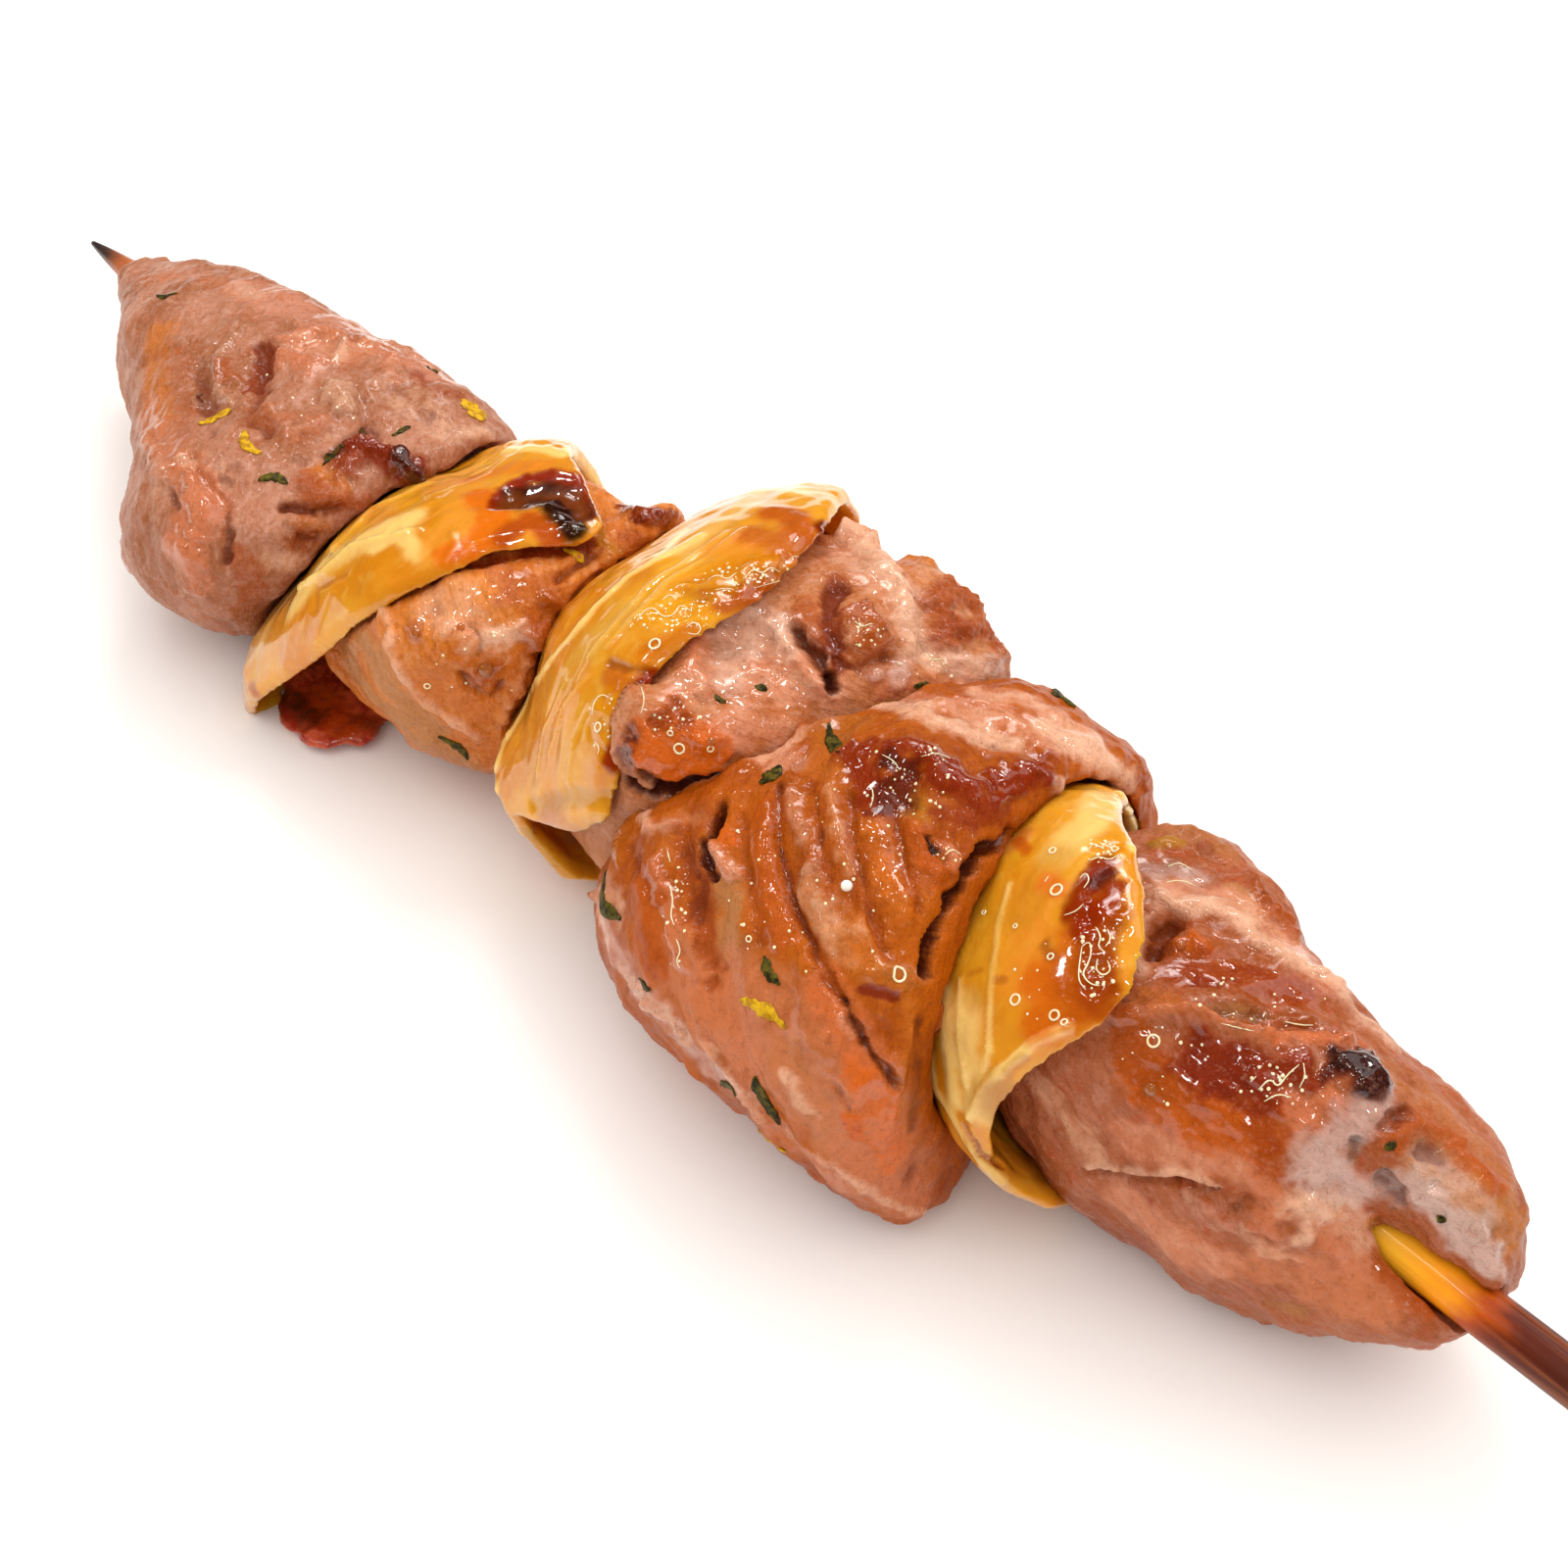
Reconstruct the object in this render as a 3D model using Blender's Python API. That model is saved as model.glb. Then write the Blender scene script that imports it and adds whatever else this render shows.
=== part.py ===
"""A grilled kebab skewer, as it lies on a table: five chunks of meat and three cupped onion petals on a
round bamboo stick, with one charred scrap of onion under it and a few herb flecks.

Everything is modelled about the stick, which runs along X with its point at -X, and is then set on the
table, Z = 0. A place on a piece is given by x along the stick and by a clock angle round it, in degrees:
0 is straight up, 90 is the front (-Y), 180 is straight down and 270 is the back (+Y)."""

import math
import random
from dataclasses import dataclass, field

import bmesh
import bpy
from mathutils import Matrix, Vector, noise

MM = 0.001

# The stick: a round bamboo skewer, drawn out to a point at its far end
STICK_LENGTH = 250.0 * MM
STICK_RADIUS = 1.75 * MM
STICK_POINT_LENGTH = 17.0 * MM
STICK_TIP_RADIUS = 0.25 * MM
STICK_END_ROUNDING = 0.35 * MM
STICK_SIDES = 20

# What lies on the table is flattened by it, this far below the stick's axis
TABLE_DEPTH = 12.5 * MM

# Clearances between touching pieces
GAP = 0.35 * MM
CHANNEL_RADIUS = STICK_RADIUS + 0.3 * MM
CHANNEL_SIDES = 14

# Mesh density of the onion and the meat
PETAL_RINGS = 6
PETAL_SIDES = 30
CHUNK_SIDES = 36
END_FACE_SHARE = 0.4

# How the meat's surface wanders from its sections
LUMP_SIZE = 9.0 * MM
LUMP_HEIGHT = 0.7 * MM

# Herb flecks: small needles pressed into the meat
FLECK_SIDES = 5
FLECK_WIDTH = 1.1 * MM
HIDDEN_FLECKS_PER_CHUNK = 2
HIDDEN_FLECK_SEED = 7


@dataclass
class Bump:
    """A lump on a chunk, or a hollow where the height is below zero. Lengths are in millimetres."""

    x: float
    clock: float
    along: float
    around: float
    height: float


@dataclass
class Chunk:
    """A piece of meat. A section is x, then how far the meat reaches up, forward, down and back from the
    stick's axis there. A slant leans an end: x grows by so much for each millimetre forward, up and back.
    Grain is a set of ridges that lean from the clock towards +X. All lengths are in millimetres."""

    name: str
    colour: tuple
    sections: list
    rings: int = 20
    boxiness: float = 2.5
    start_bluntness: float = 3.0
    end_bluntness: float = 3.0
    start_slant: tuple = (0.0, 0.0, 0.0)
    end_slant: tuple = (0.0, 0.0, 0.0)
    bumps: list = field(default_factory=list)
    grain_spacing: float = 5.0
    grain_height: float = 0.0
    grain_lean: float = 0.0
    flecks: list = field(default_factory=list)


@dataclass
class Petal:
    """An onion petal: a cup threaded on the stick and open towards +X. A rim key is a clock angle, then the
    rim's distance from the stick and how far beyond the hub it is. The lean tips the whole cup: x grows by
    so much for each millimetre forward, up and back. Lengths are in millimetres."""

    name: str
    colour: tuple
    hub_x: float
    lean: tuple
    rim_keys: list
    opening: float = 84.0
    hub_thickness: float = 2.8
    rim_thickness: float = 1.5


MEAT_COLOUR = (0.40, 0.17, 0.10, 1)
ONION_COLOUR = (0.80, 0.52, 0.18, 1)
STICK_COLOUR = (0.50, 0.22, 0.06, 1)
CHARRED_COLOUR = (0.12, 0.02, 0.01, 1)

FAR_CHUNK = Chunk(
    name="meat_far",
    colour=MEAT_COLOUR,
    sections=[
        (-118, 3.6, 3.6, 3.4, 3.8),
        (-111, 4.6, 6, 5.2, 4.6),
        (-104, 6.5, 9.5, 8.5, 6.5),
        (-95, 8, 12.8, 11, 7),
        (-85, 9, 17.8, 13, 8.5),
        (-75, 10, 24, 13, 9.5),
        (-60, 9.5, 24.5, 13, 9.5),
    ],
    boxiness=2.7,
    start_bluntness=3.0,
    end_bluntness=6.0,
    end_slant=(-0.10, 0.38, 0.10),
    bumps=[
        Bump(-80, 42, 5, 4, -1.2),
        Bump(-86, 20, 5, 5, 0.8),
        Bump(-74, 30, 4, 5, 1.0),
        Bump(-82, 95, 5, 5, 1.0),
        Bump(-60, 34, 3, 4, 2.4),
        Bump(-87, 120, 3, 4, 2.0),
    ],
    flecks=[(-95, 34, 3.0, 20), (-82, 58, 3.5, 70), (-64, -10, 4.0, 10), (-70, 62, 4.0, 60)],
)

SECOND_CHUNK = Chunk(
    name="meat_second",
    colour=MEAT_COLOUR,
    sections=[
        (-57, 9, 15, 9.5, 7),
        (-52, 10, 17.5, 10.2, 8),
        (-46, 10.5, 17.7, 10.3, 8),
        (-40, 11, 17.8, 11, 8.5),
        (-34, 11, 16.3, 10.5, 9),
    ],
    rings=17,
    boxiness=3.4,
    start_bluntness=4.0,
    end_bluntness=4.0,
    start_slant=(-0.30, 0.45, 0.30),
    end_slant=(-0.08, 0.0, 0.0),
    bumps=[Bump(-39, -30, 2.2, 3.0, 2.5), Bump(-50, 70, 5, 4, 0.6)],
    flecks=[(-46, 114, 3.5, 30)],
)

THIRD_CHUNK = Chunk(
    name="meat_third",
    colour=MEAT_COLOUR,
    sections=[
        (-34, 13, 11, 8, 12),
        (-28, 15, 13.5, 9, 16),
        (-22, 16.5, 15.5, 10, 18),
        (-15, 16.5, 16, 10.5, 18.5),
        (-7, 15, 15, 10, 14.5),
    ],
    rings=18,
    boxiness=2.7,
    start_bluntness=3.0,
    end_bluntness=3.5,
    end_slant=(-0.30, 0.10, 0.30),
    bumps=[
        Bump(-12, -8, 3.2, 3.2, 2.0),
        Bump(-9, -50, 3.0, 3.4, 3.2),
        Bump(-17, -45, 2.5, 3.0, 1.2),
        Bump(-16, 16, 4.0, 4.0, -2.2),
        Bump(-15, 44, 4.0, 4.5, 2.2),
    ],
    flecks=[(-11, -28, 3.0, 40)],
)

FOURTH_CHUNK = Chunk(
    name="meat_fourth",
    colour=MEAT_COLOUR,
    sections=[
        (-18, 12, 17, 12, 12),
        (-13, 13.5, 21, 13.5, 14),
        (-6, 15, 23, 14, 16.5),
        (1, 15.5, 23.5, 14, 17),
        (6.5, 15, 23, 14, 16.5),
        (11.0, 13.5, 22, 14, 15.5),
    ],
    rings=26,
    boxiness=2.6,
    start_bluntness=3.2,
    end_bluntness=7.0,
    start_slant=(-0.30, 0.40, 0.30),
    end_slant=(0.30, -0.18, 0.05),
    bumps=[
        Bump(2, 12, 8, 3.0, 1.8),
        Bump(-3, 58, 12, 7, -1.4),
        Bump(12, 124, 4, 3.5, 3.5),
    ],
    grain_height=0.55,
    grain_lean=0.55,
    flecks=[(-6, 35, 3.0, 80), (-4, 20, 3.2, 80), (-16, 92, 4.5, 20), (1, 88, 3.6, 30), (3, -34, 2.6, 10)],
)

NEAR_CHUNK = Chunk(
    name="meat_near",
    colour=MEAT_COLOUR,
    sections=[
        (7.5, 9, 8, 7, 12),
        (12, 11.5, 9.5, 9, 15.5),
        (17, 12.5, 10.5, 11, 16),
        (22, 12.2, 10.5, 12, 13.5),
        (28, 11.5, 9.8, 12.8, 11),
        (36, 10.5, 8.5, 12.3, 10),
        (44, 9, 6, 9.2, 10),
        (50.5, 7, 4, 5.2, 9.5),
    ],
    rings=24,
    start_bluntness=4.0,
    end_bluntness=3.4,
    bumps=[
        Bump(47, 35, 6.0, 3.4, -14.0),
        Bump(30, 12, 6, 4, 1.2),
        Bump(23, -48, 3.5, 4, 1.4),
        Bump(22, 4, 4, 3.5, -1.2),
        Bump(37, -5, 2.2, 2.2, 1.2),
    ],
    flecks=[(39, -20, 2.4, 20)],
)

FAR_PETAL = Petal(
    name="onion_far",
    colour=ONION_COLOUR,
    hub_x=-63.0,
    lean=(-0.25, 0.42, 0.25),
    rim_keys=[
        (0, 12.5, 18.8),
        (12, 12.5, 19.7),
        (24, 13.2, 18.1),
        (36, 14.2, 16.7),
        (50, 16.0, 16.9),
        (66, 17.8, 15.7),
        (85, 19.2, 14.5),
        (102, 22.0, 12.5),
        (118, 25.5, 9.5),
        (150, 14.0, 10.5),
        (180, 11.5, 9.5),
        (240, 11.0, 10.5),
        (305, 11.2, 5.0),
        (338, 12.0, 8.3),
        (350, 12.3, 14.5),
    ],
)

MIDDLE_PETAL = Petal(
    name="onion_middle",
    colour=ONION_COLOUR,
    hub_x=-38.0,
    lean=(0.0, 0.0, 0.0),
    rim_keys=[
        (0, 17.5, 18.5),
        (37, 18.0, 17.5),
        (60, 17.8, 19.0),
        (80, 17.5, 18.0),
        (96, 17.5, 9.0),
        (110, 17.0, 9.5),
        (124, 17.0, 12.5),
        (150, 13.5, 12.0),
        (180, 11.5, 11.0),
        (240, 12.0, 11.0),
        (285, 18.0, 12.0),
        (305, 21.0, 10.8),
        (335, 19.0, 16.0),
    ],
)

NEAR_PETAL = Petal(
    name="onion_near",
    colour=ONION_COLOUR,
    hub_x=4.0,
    lean=(0.30, -0.10, -0.30),
    rim_keys=[
        (0, 15.0, 15.8),
        (27, 15.0, 18.0),
        (56, 15.0, 13.5),
        (75, 14.5, 11.5),
        (95, 14.5, 11.5),
        (124, 12.4, 14.9),
        (150, 12.0, 14.0),
        (180, 11.5, 12.0),
        (240, 11.5, 10.0),
        (305, 13.4, 9.0),
        (338, 14.0, 11.2),
    ],
)

# The charred scrap of onion that lies flat under the second chunk: its middle, then half its length along
# the stick, half its width and half its thickness
SCRAP_MIDDLE = Vector((-59.0, -16.4, -11.4)) * MM
SCRAP_HALF_SIZES = Vector((6.6, 4.6, 0.9)) * MM
SCRAP_TURN = -12.0
SCRAP_WAVES = 5
SCRAP_WAVE_HEIGHT = 0.14
SCRAP_RINGS = 6
SCRAP_SIDES = 20


# Numbers along the stick and round the clock


def smooth_table(rows, x):
    """The columns after the first, at x, on smooth curves through the rows."""
    if x <= rows[0][0]:
        return rows[0][1:]
    if x >= rows[-1][0]:
        return rows[-1][1:]
    at = max(i for i in range(len(rows) - 1) if rows[i][0] <= x)
    here, there = rows[at], rows[at + 1]
    before, after = rows[max(0, at - 1)], rows[min(len(rows) - 1, at + 2)]
    span = there[0] - here[0]
    t = (x - here[0]) / span
    values = []
    for column in range(1, len(here)):
        leaving = (there[column] - before[column]) / (there[0] - before[0]) * span
        arriving = (after[column] - here[column]) / (after[0] - here[0]) * span
        value = (2 * t**3 - 3 * t**2 + 1) * here[column] + (3 * t**2 - 2 * t**3) * there[column]
        value += (t**3 - 2 * t**2 + t) * leaving + (t**3 - t**2) * arriving
        values.append(value)
    return values


def round_the_clock(keys, clock):
    """The columns after the first, at a clock angle, on smooth closed curves through the keys."""
    turns = [(key[0] + turn, *key[1:]) for turn in (-360, 0, 360) for key in keys]
    return smooth_table(turns, clock % 360)


def clock_distance(one, other):
    """The angle from one clock angle to another, in degrees, from -180 to 180."""
    return (one - other + 180) % 360 - 180


def clock_vector(clock):
    """The unit vector out from the stick at a clock angle."""
    angle = math.radians(clock)
    return Vector((0, -math.sin(angle), math.cos(angle)))


def leaned(place, lean):
    """How much x grows at a place for a lean forward, up and back."""
    return lean[0] * max(0.0, -place.y) + lean[1] * place.z + lean[2] * max(0.0, place.y)


# Meshes


def mesh_object(name, shape):
    """A new object in the scene from a bmesh, which is used up."""
    bmesh.ops.recalc_face_normals(shape, faces=shape.faces)
    mesh = bpy.data.meshes.new(name)
    shape.to_mesh(mesh)
    shape.free()
    thing = bpy.data.objects.new(name, mesh)
    bpy.context.scene.collection.objects.link(thing)
    return thing


def add_strips(shape, rings, closed=False):
    """The faces between rings of equally many corners, and from the last to the first if they close."""
    pairs = list(zip(rings, rings[1:]))
    if closed:
        pairs.append((rings[-1], rings[0]))
    for ring, following in pairs:
        for side in range(len(ring)):
            after = (side + 1) % len(ring)
            shape.faces.new((ring[side], ring[after], following[after], following[side]))


def add_fan(shape, ring, middle):
    """Triangles from a ring to one corner in its middle."""
    tip = shape.verts.new(middle)
    for side in range(len(ring)):
        shape.faces.new((ring[side], ring[(side + 1) % len(ring)], tip))


def turned_object(name, outline, sides):
    """A solid turned about the stick's axis, from an outline of (x, radius) pairs."""
    shape = bmesh.new()
    rings = []
    for x, radius in outline:
        places = [clock_vector(360 * (side + 0.3) / sides) * radius + Vector((x, 0, 0)) for side in range(sides)]
        rings.append([shape.verts.new(place) for place in places])
    add_strips(shape, rings)
    for ring in (rings[0], rings[-1]):
        shape.faces.new(ring)
    return mesh_object(name, shape)


def apply_boolean(thing, operation, solver, tools):
    """Cuts the tools from the thing or joins them to it, in one Boolean on a collection, and removes them."""
    group = bpy.data.collections.new("tools")
    for tool in tools:
        group.objects.link(tool)
    modifier = thing.modifiers.new(operation.lower(), "BOOLEAN")
    modifier.operation = operation
    modifier.operand_type = "COLLECTION"
    modifier.collection = group
    modifier.solver = solver
    evaluated = thing.evaluated_get(bpy.context.evaluated_depsgraph_get())
    result = bpy.data.meshes.new_from_object(evaluated)
    thing.modifiers.clear()
    thing.data = result
    for tool in tools:
        bpy.data.objects.remove(tool)
    bpy.data.collections.remove(group)


def drop_crumbs(thing):
    """Removes the crumbs that cutting leaves beside a piece."""
    shape = bmesh.new()
    shape.from_mesh(thing.data)
    waiting = set(shape.verts)
    parts = []
    while waiting:
        part, border = set(), [waiting.pop()]
        while border:
            corner = border.pop()
            part.add(corner)
            for edge in corner.link_edges:
                other = edge.other_vert(corner)
                if other in waiting:
                    waiting.remove(other)
                    border.append(other)
        parts.append(part)
    parts.sort(key=len)
    for part in parts[:-1]:
        bmesh.ops.delete(shape, geom=list(part), context="VERTS")
    shape.to_mesh(thing.data)
    shape.free()


# The stick


def make_stick():
    """The bamboo stick: a turned rod with a long point at -X and a slightly rounded end at +X."""
    half = STICK_LENGTH / 2
    outline = [
        (-half, STICK_TIP_RADIUS),
        (-half + STICK_POINT_LENGTH * 0.5, STICK_RADIUS * 0.62),
        (-half + STICK_POINT_LENGTH, STICK_RADIUS),
        (half - STICK_END_ROUNDING, STICK_RADIUS),
        (half, STICK_RADIUS - STICK_END_ROUNDING),
    ]
    return turned_object("stick", outline, STICK_SIDES)


def channel_cutter():
    """What is cut from the meat so that the stick passes through it."""
    half = STICK_LENGTH / 2 + GAP
    return turned_object("channel", [(-half, CHANNEL_RADIUS), (half, CHANNEL_RADIUS)], CHANNEL_SIDES)


# The meat


def section_reach(chunk, x, clock):
    """How far the meat reaches from the stick's axis, before its ends are rounded off."""
    top, front, bottom, back = smooth_table(chunk.sections, x)
    up, ahead = math.cos(math.radians(clock)), math.sin(math.radians(clock))
    high = top if up > 0 else bottom
    wide = front if ahead > 0 else back
    power = chunk.boxiness
    plain = ((abs(up) / high) ** power + (abs(ahead) / wide) ** power) ** (-1 / power)
    reach = plain
    degree = math.radians(1) * plain
    for bump in chunk.bumps:
        off_along = (x - bump.x) / bump.along
        off_around = clock_distance(clock, bump.clock) * degree / bump.around
        reach += bump.height * math.exp(-(off_along**2) - off_around**2)
    across_grain = x - chunk.grain_lean * clock_distance(clock, 0) * degree
    upper_front = max(0.0, math.cos(math.radians(clock - 55)))
    reach += chunk.grain_height * upper_front * math.sin(2 * math.pi * across_grain / chunk.grain_spacing)
    return max(1.0, reach) * MM


def profile(chunk, turn):
    """How far along a chunk and how far out on it a ring is, from (-1, 0), over (0, 1), to (1, 0)."""
    bluntness = chunk.start_bluntness if turn < math.pi / 2 else chunk.end_bluntness
    along = -math.copysign(abs(math.cos(turn)) ** (2 / bluntness), math.cos(turn))
    out = max(0.0, math.sin(turn)) ** (2 / bluntness)
    return along, out


def ring_turns(chunk, count):
    """Where the rings are, evenly spaced over the side and more widely on the end faces."""
    start, end = chunk.sections[0][0], chunk.sections[-1][0]
    width = END_FACE_SHARE * max(chunk.sections[len(chunk.sections) // 2][1:])
    fine = [math.pi * step / 2000 for step in range(2001)]
    spots = [profile(chunk, turn) for turn in fine]
    lengths = [0.0]
    for one, other in zip(spots, spots[1:]):
        lengths.append(lengths[-1] + math.hypot((other[0] - one[0]) * (end - start) / 2, (other[1] - one[1]) * width))
    turns = []
    at = 0
    for ring in range(1, count):
        while lengths[at] < lengths[-1] * ring / count:
            at += 1
        turns.append(fine[at])
    return turns


def chunk_point(chunk, turn, clock, swell=0.0):
    """A point of the meat's skin. The turn runs from 0, at the start, to pi, at the end."""
    start, end = chunk.sections[0][0], chunk.sections[-1][0]
    along, out = profile(chunk, turn)
    x = (start + end) / 2 + along * (end - start) / 2
    reach = section_reach(chunk, x, clock)
    place = Vector((x * MM, 0, 0)) + clock_vector(clock) * reach * out
    wander = noise.noise(place / LUMP_SIZE) + 0.5 * noise.noise(place * 2 / LUMP_SIZE)
    place += clock_vector(clock) * out * (wander * LUMP_HEIGHT + swell)
    endness = (1 + along) / 2
    place.x += (1 - endness) * leaned(place, chunk.start_slant) + endness * leaned(place, chunk.end_slant)
    place.x += along * swell
    place.z = max(place.z, -TABLE_DEPTH - swell)
    return place


def uncut_chunk(chunk, swell=0.0):
    """The meat as one closed skin round the stick's axis."""
    shape = bmesh.new()
    rings = []
    for turn in ring_turns(chunk, chunk.rings):
        clocks = [360 * side / CHUNK_SIDES for side in range(CHUNK_SIDES)]
        places = [chunk_point(chunk, turn, clock, swell) for clock in clocks]
        rings.append([shape.verts.new(place) for place in places])
    add_strips(shape, rings)
    add_fan(shape, rings[0], chunk_point(chunk, 0, 0, swell))
    add_fan(shape, rings[-1], chunk_point(chunk, math.pi, 0, swell))
    return mesh_object("uncut_" + chunk.name, shape)


def make_fleck(chunk, x, clock, length, lean):
    """A needle of herb, half sunk in the skin. The lean is the angle between it and the stick."""
    steps = [chunk_point(chunk, turn, clock) for turn in ring_turns(chunk, 100)]
    centre = min(steps, key=lambda place: abs(place.x - x * MM))
    out = clock_vector(clock)
    needle = Matrix.Rotation(math.radians(lean), 3, out) @ Vector((1, 0, 0))
    shape = bmesh.new()
    bmesh.ops.create_uvsphere(shape, u_segments=FLECK_SIDES, v_segments=4, radius=1)
    shape.transform(Matrix.Diagonal((FLECK_WIDTH / 2, FLECK_WIDTH / 2, length * MM / 2, 1)))
    shape.transform(needle.to_track_quat("Z", "Y").to_matrix().to_4x4())
    shape.transform(Matrix.Translation(centre))
    return mesh_object("fleck", shape)


def make_chunk(chunk, cutters, draw):
    """The meat with the herb flecks fused to it, cut clear of the stick and of its neighbours."""
    thing = uncut_chunk(chunk)
    places = list(chunk.flecks)
    start, end = chunk.sections[0][0], chunk.sections[-1][0]
    for _ in range(HIDDEN_FLECKS_PER_CHUNK):
        x = start + (end - start) * draw.uniform(0.4, 0.7)
        places.append((x, draw.uniform(240, 300), draw.uniform(2.4, 3.6), draw.uniform(0, 90)))
    apply_boolean(thing, "UNION", "EXACT", [make_fleck(chunk, *place) for place in places])
    for cutter in [channel_cutter(), *cutters]:
        apply_boolean(thing, "DIFFERENCE", "MANIFOLD", [cutter])
    drop_crumbs(thing)
    return thing


# The onion


def petal_point(petal, spread, clock):
    """A point of the petal's middle surface. Spread runs from 0, at the stick, to 1, at the rim."""
    reach, depth = round_the_clock(petal.rim_keys, clock)
    opening = math.radians(petal.opening)
    hub = CHANNEL_RADIUS / MM / reach
    turn = opening * (hub + (1 - hub) * spread)
    place = clock_vector(clock) * reach * math.sin(turn) / math.sin(opening)
    place.x = petal.hub_x + depth * (1 - math.cos(turn)) / (1 - math.cos(opening)) + leaned(place, petal.lean)
    return place * MM


def petal_normal(petal, spread, clock):
    """The unit normal of the middle surface, on the cup's outer side."""
    outward = petal_point(petal, spread + 0.01, clock) - petal_point(petal, spread - 0.01, clock)
    around = petal_point(petal, spread, clock + 1) - petal_point(petal, spread, clock - 1)
    return around.cross(outward).normalized()


def make_petal(petal, swell=0.0, filled=False):
    """The petal as a closed shell with a hole for the stick or, when filled, as the whole of its cup."""
    shape = bmesh.new()
    clocks = [360 * side / PETAL_SIDES for side in range(PETAL_SIDES)]
    spreads = [ring / PETAL_RINGS for ring in range(PETAL_RINGS + 1)]
    rows = [(spread, 1) for spread in spreads] + [(1.06 + swell / (15 * MM), 0)]
    if not filled:
        rows += [(spread, -1) for spread in reversed(spreads)]
    rings = []
    for spread, side_of_middle in rows:
        thickness = petal.hub_thickness + (petal.rim_thickness - petal.hub_thickness) * spread
        offset = side_of_middle * (thickness * MM / 2 + swell)
        ring = []
        for clock in clocks:
            place = petal_point(petal, spread, clock) + petal_normal(petal, spread, clock) * offset
            place.z = max(place.z, -TABLE_DEPTH - swell)
            ring.append(shape.verts.new(place))
        rings.append(ring)
    add_strips(shape, rings, closed=not filled)
    if filled:
        add_fan(shape, rings[0], sum((corner.co for corner in rings[0]), Vector()) / PETAL_SIDES)
        add_fan(shape, rings[-1], sum((corner.co for corner in rings[-1]), Vector()) / PETAL_SIDES)
    return mesh_object("cup", shape)


def make_scrap(swell=0.0):
    """The charred scrap: a flat, wavy-edged leaf with a thin rim."""
    half = SCRAP_HALF_SIZES + Vector((swell, swell, swell))
    shape = bmesh.new()
    rings = []
    for ring in range(1, SCRAP_RINGS):
        height = math.cos(math.pi * ring / SCRAP_RINGS)
        out = math.sin(math.pi * ring / SCRAP_RINGS) ** 0.6
        corners = []
        for side in range(SCRAP_SIDES):
            angle = 2 * math.pi * side / SCRAP_SIDES
            wave = 1 + SCRAP_WAVE_HEIGHT * math.sin(SCRAP_WAVES * angle) * math.cos(2 * angle + 1)
            place = Vector((math.cos(angle) * out * wave * half.x, math.sin(angle) * out * wave * half.y, 0))
            place.z = height * half.z
            corners.append(shape.verts.new(place))
        rings.append(corners)
    add_strips(shape, rings)
    add_fan(shape, rings[0], Vector((0, 0, half.z)))
    add_fan(shape, rings[-1], Vector((0, 0, -half.z)))
    shape.transform(Matrix.Translation(SCRAP_MIDDLE) @ Matrix.Rotation(math.radians(SCRAP_TURN), 4, "Z"))
    return mesh_object("scrap", shape)


# The whole skewer


def finish_node(thing, name, colour, roughness):
    """Gives a node its name, its material and its shading."""
    thing.name = thing.data.name = name
    material = bpy.data.materials.new(name + "_material")
    material.use_nodes = True
    shader = material.node_tree.nodes["Principled BSDF"]
    shader.inputs["Base Color"].default_value = colour
    shader.inputs["Roughness"].default_value = roughness
    thing.data.materials.clear()
    thing.data.materials.append(material)
    for face in thing.data.polygons:
        face.use_smooth = len(face.vertices) < 6
        face.material_index = 0


def set_on_table(nodes):
    """Parents everything to an empty that puts the middle of the underside at the origin."""
    places = [corner.co for node in nodes for corner in node.data.vertices]
    low = Vector([min(place[axis] for place in places) for axis in range(3)])
    high = Vector([max(place[axis] for place in places) for axis in range(3)])
    frame = bpy.data.objects.new("kebab_skewer", None)
    frame.empty_display_size = 20 * MM
    frame.location = (-(low.x + high.x) / 2, -(low.y + high.y) / 2, -low.z)
    bpy.context.scene.collection.objects.link(frame)
    for node in nodes:
        node.parent = frame


def main():
    for thing in list(bpy.data.objects):
        bpy.data.objects.remove(thing)
    draw = random.Random(HIDDEN_FLECK_SEED)

    stick = make_stick()
    finish_node(stick, "stick", STICK_COLOUR, 0.45)
    scrap = make_scrap()
    apply_boolean(scrap, "DIFFERENCE", "MANIFOLD", [make_petal(FAR_PETAL, GAP)])
    drop_crumbs(scrap)
    finish_node(scrap, "charred_scrap", CHARRED_COLOUR, 0.5)
    nodes = [stick, scrap]

    for petal in (FAR_PETAL, MIDDLE_PETAL, NEAR_PETAL):
        cup = make_petal(petal)
        finish_node(cup, petal.name, petal.colour, 0.3)
        nodes.append(cup)

    far_cup = make_petal(FAR_PETAL, GAP, filled=True)
    middle_cup = make_petal(MIDDLE_PETAL, GAP, filled=True)
    near_cup = make_petal(NEAR_PETAL, GAP, filled=True)
    cuts = (
        (FAR_CHUNK, [far_cup]),
        (SECOND_CHUNK, [make_petal(FAR_PETAL, GAP), middle_cup, make_scrap(GAP)]),
        (THIRD_CHUNK, [make_petal(MIDDLE_PETAL, GAP)]),
        (
            FOURTH_CHUNK,
            [make_petal(MIDDLE_PETAL, GAP), uncut_chunk(THIRD_CHUNK, GAP), near_cup, uncut_chunk(NEAR_CHUNK, GAP)],
        ),
        (NEAR_CHUNK, [make_petal(NEAR_PETAL, GAP)]),
    )
    for chunk, cutters in cuts:
        meat = make_chunk(chunk, cutters, draw)
        finish_node(meat, chunk.name, chunk.colour, 0.4)
        nodes.append(meat)

    set_on_table(nodes)


main()
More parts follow.
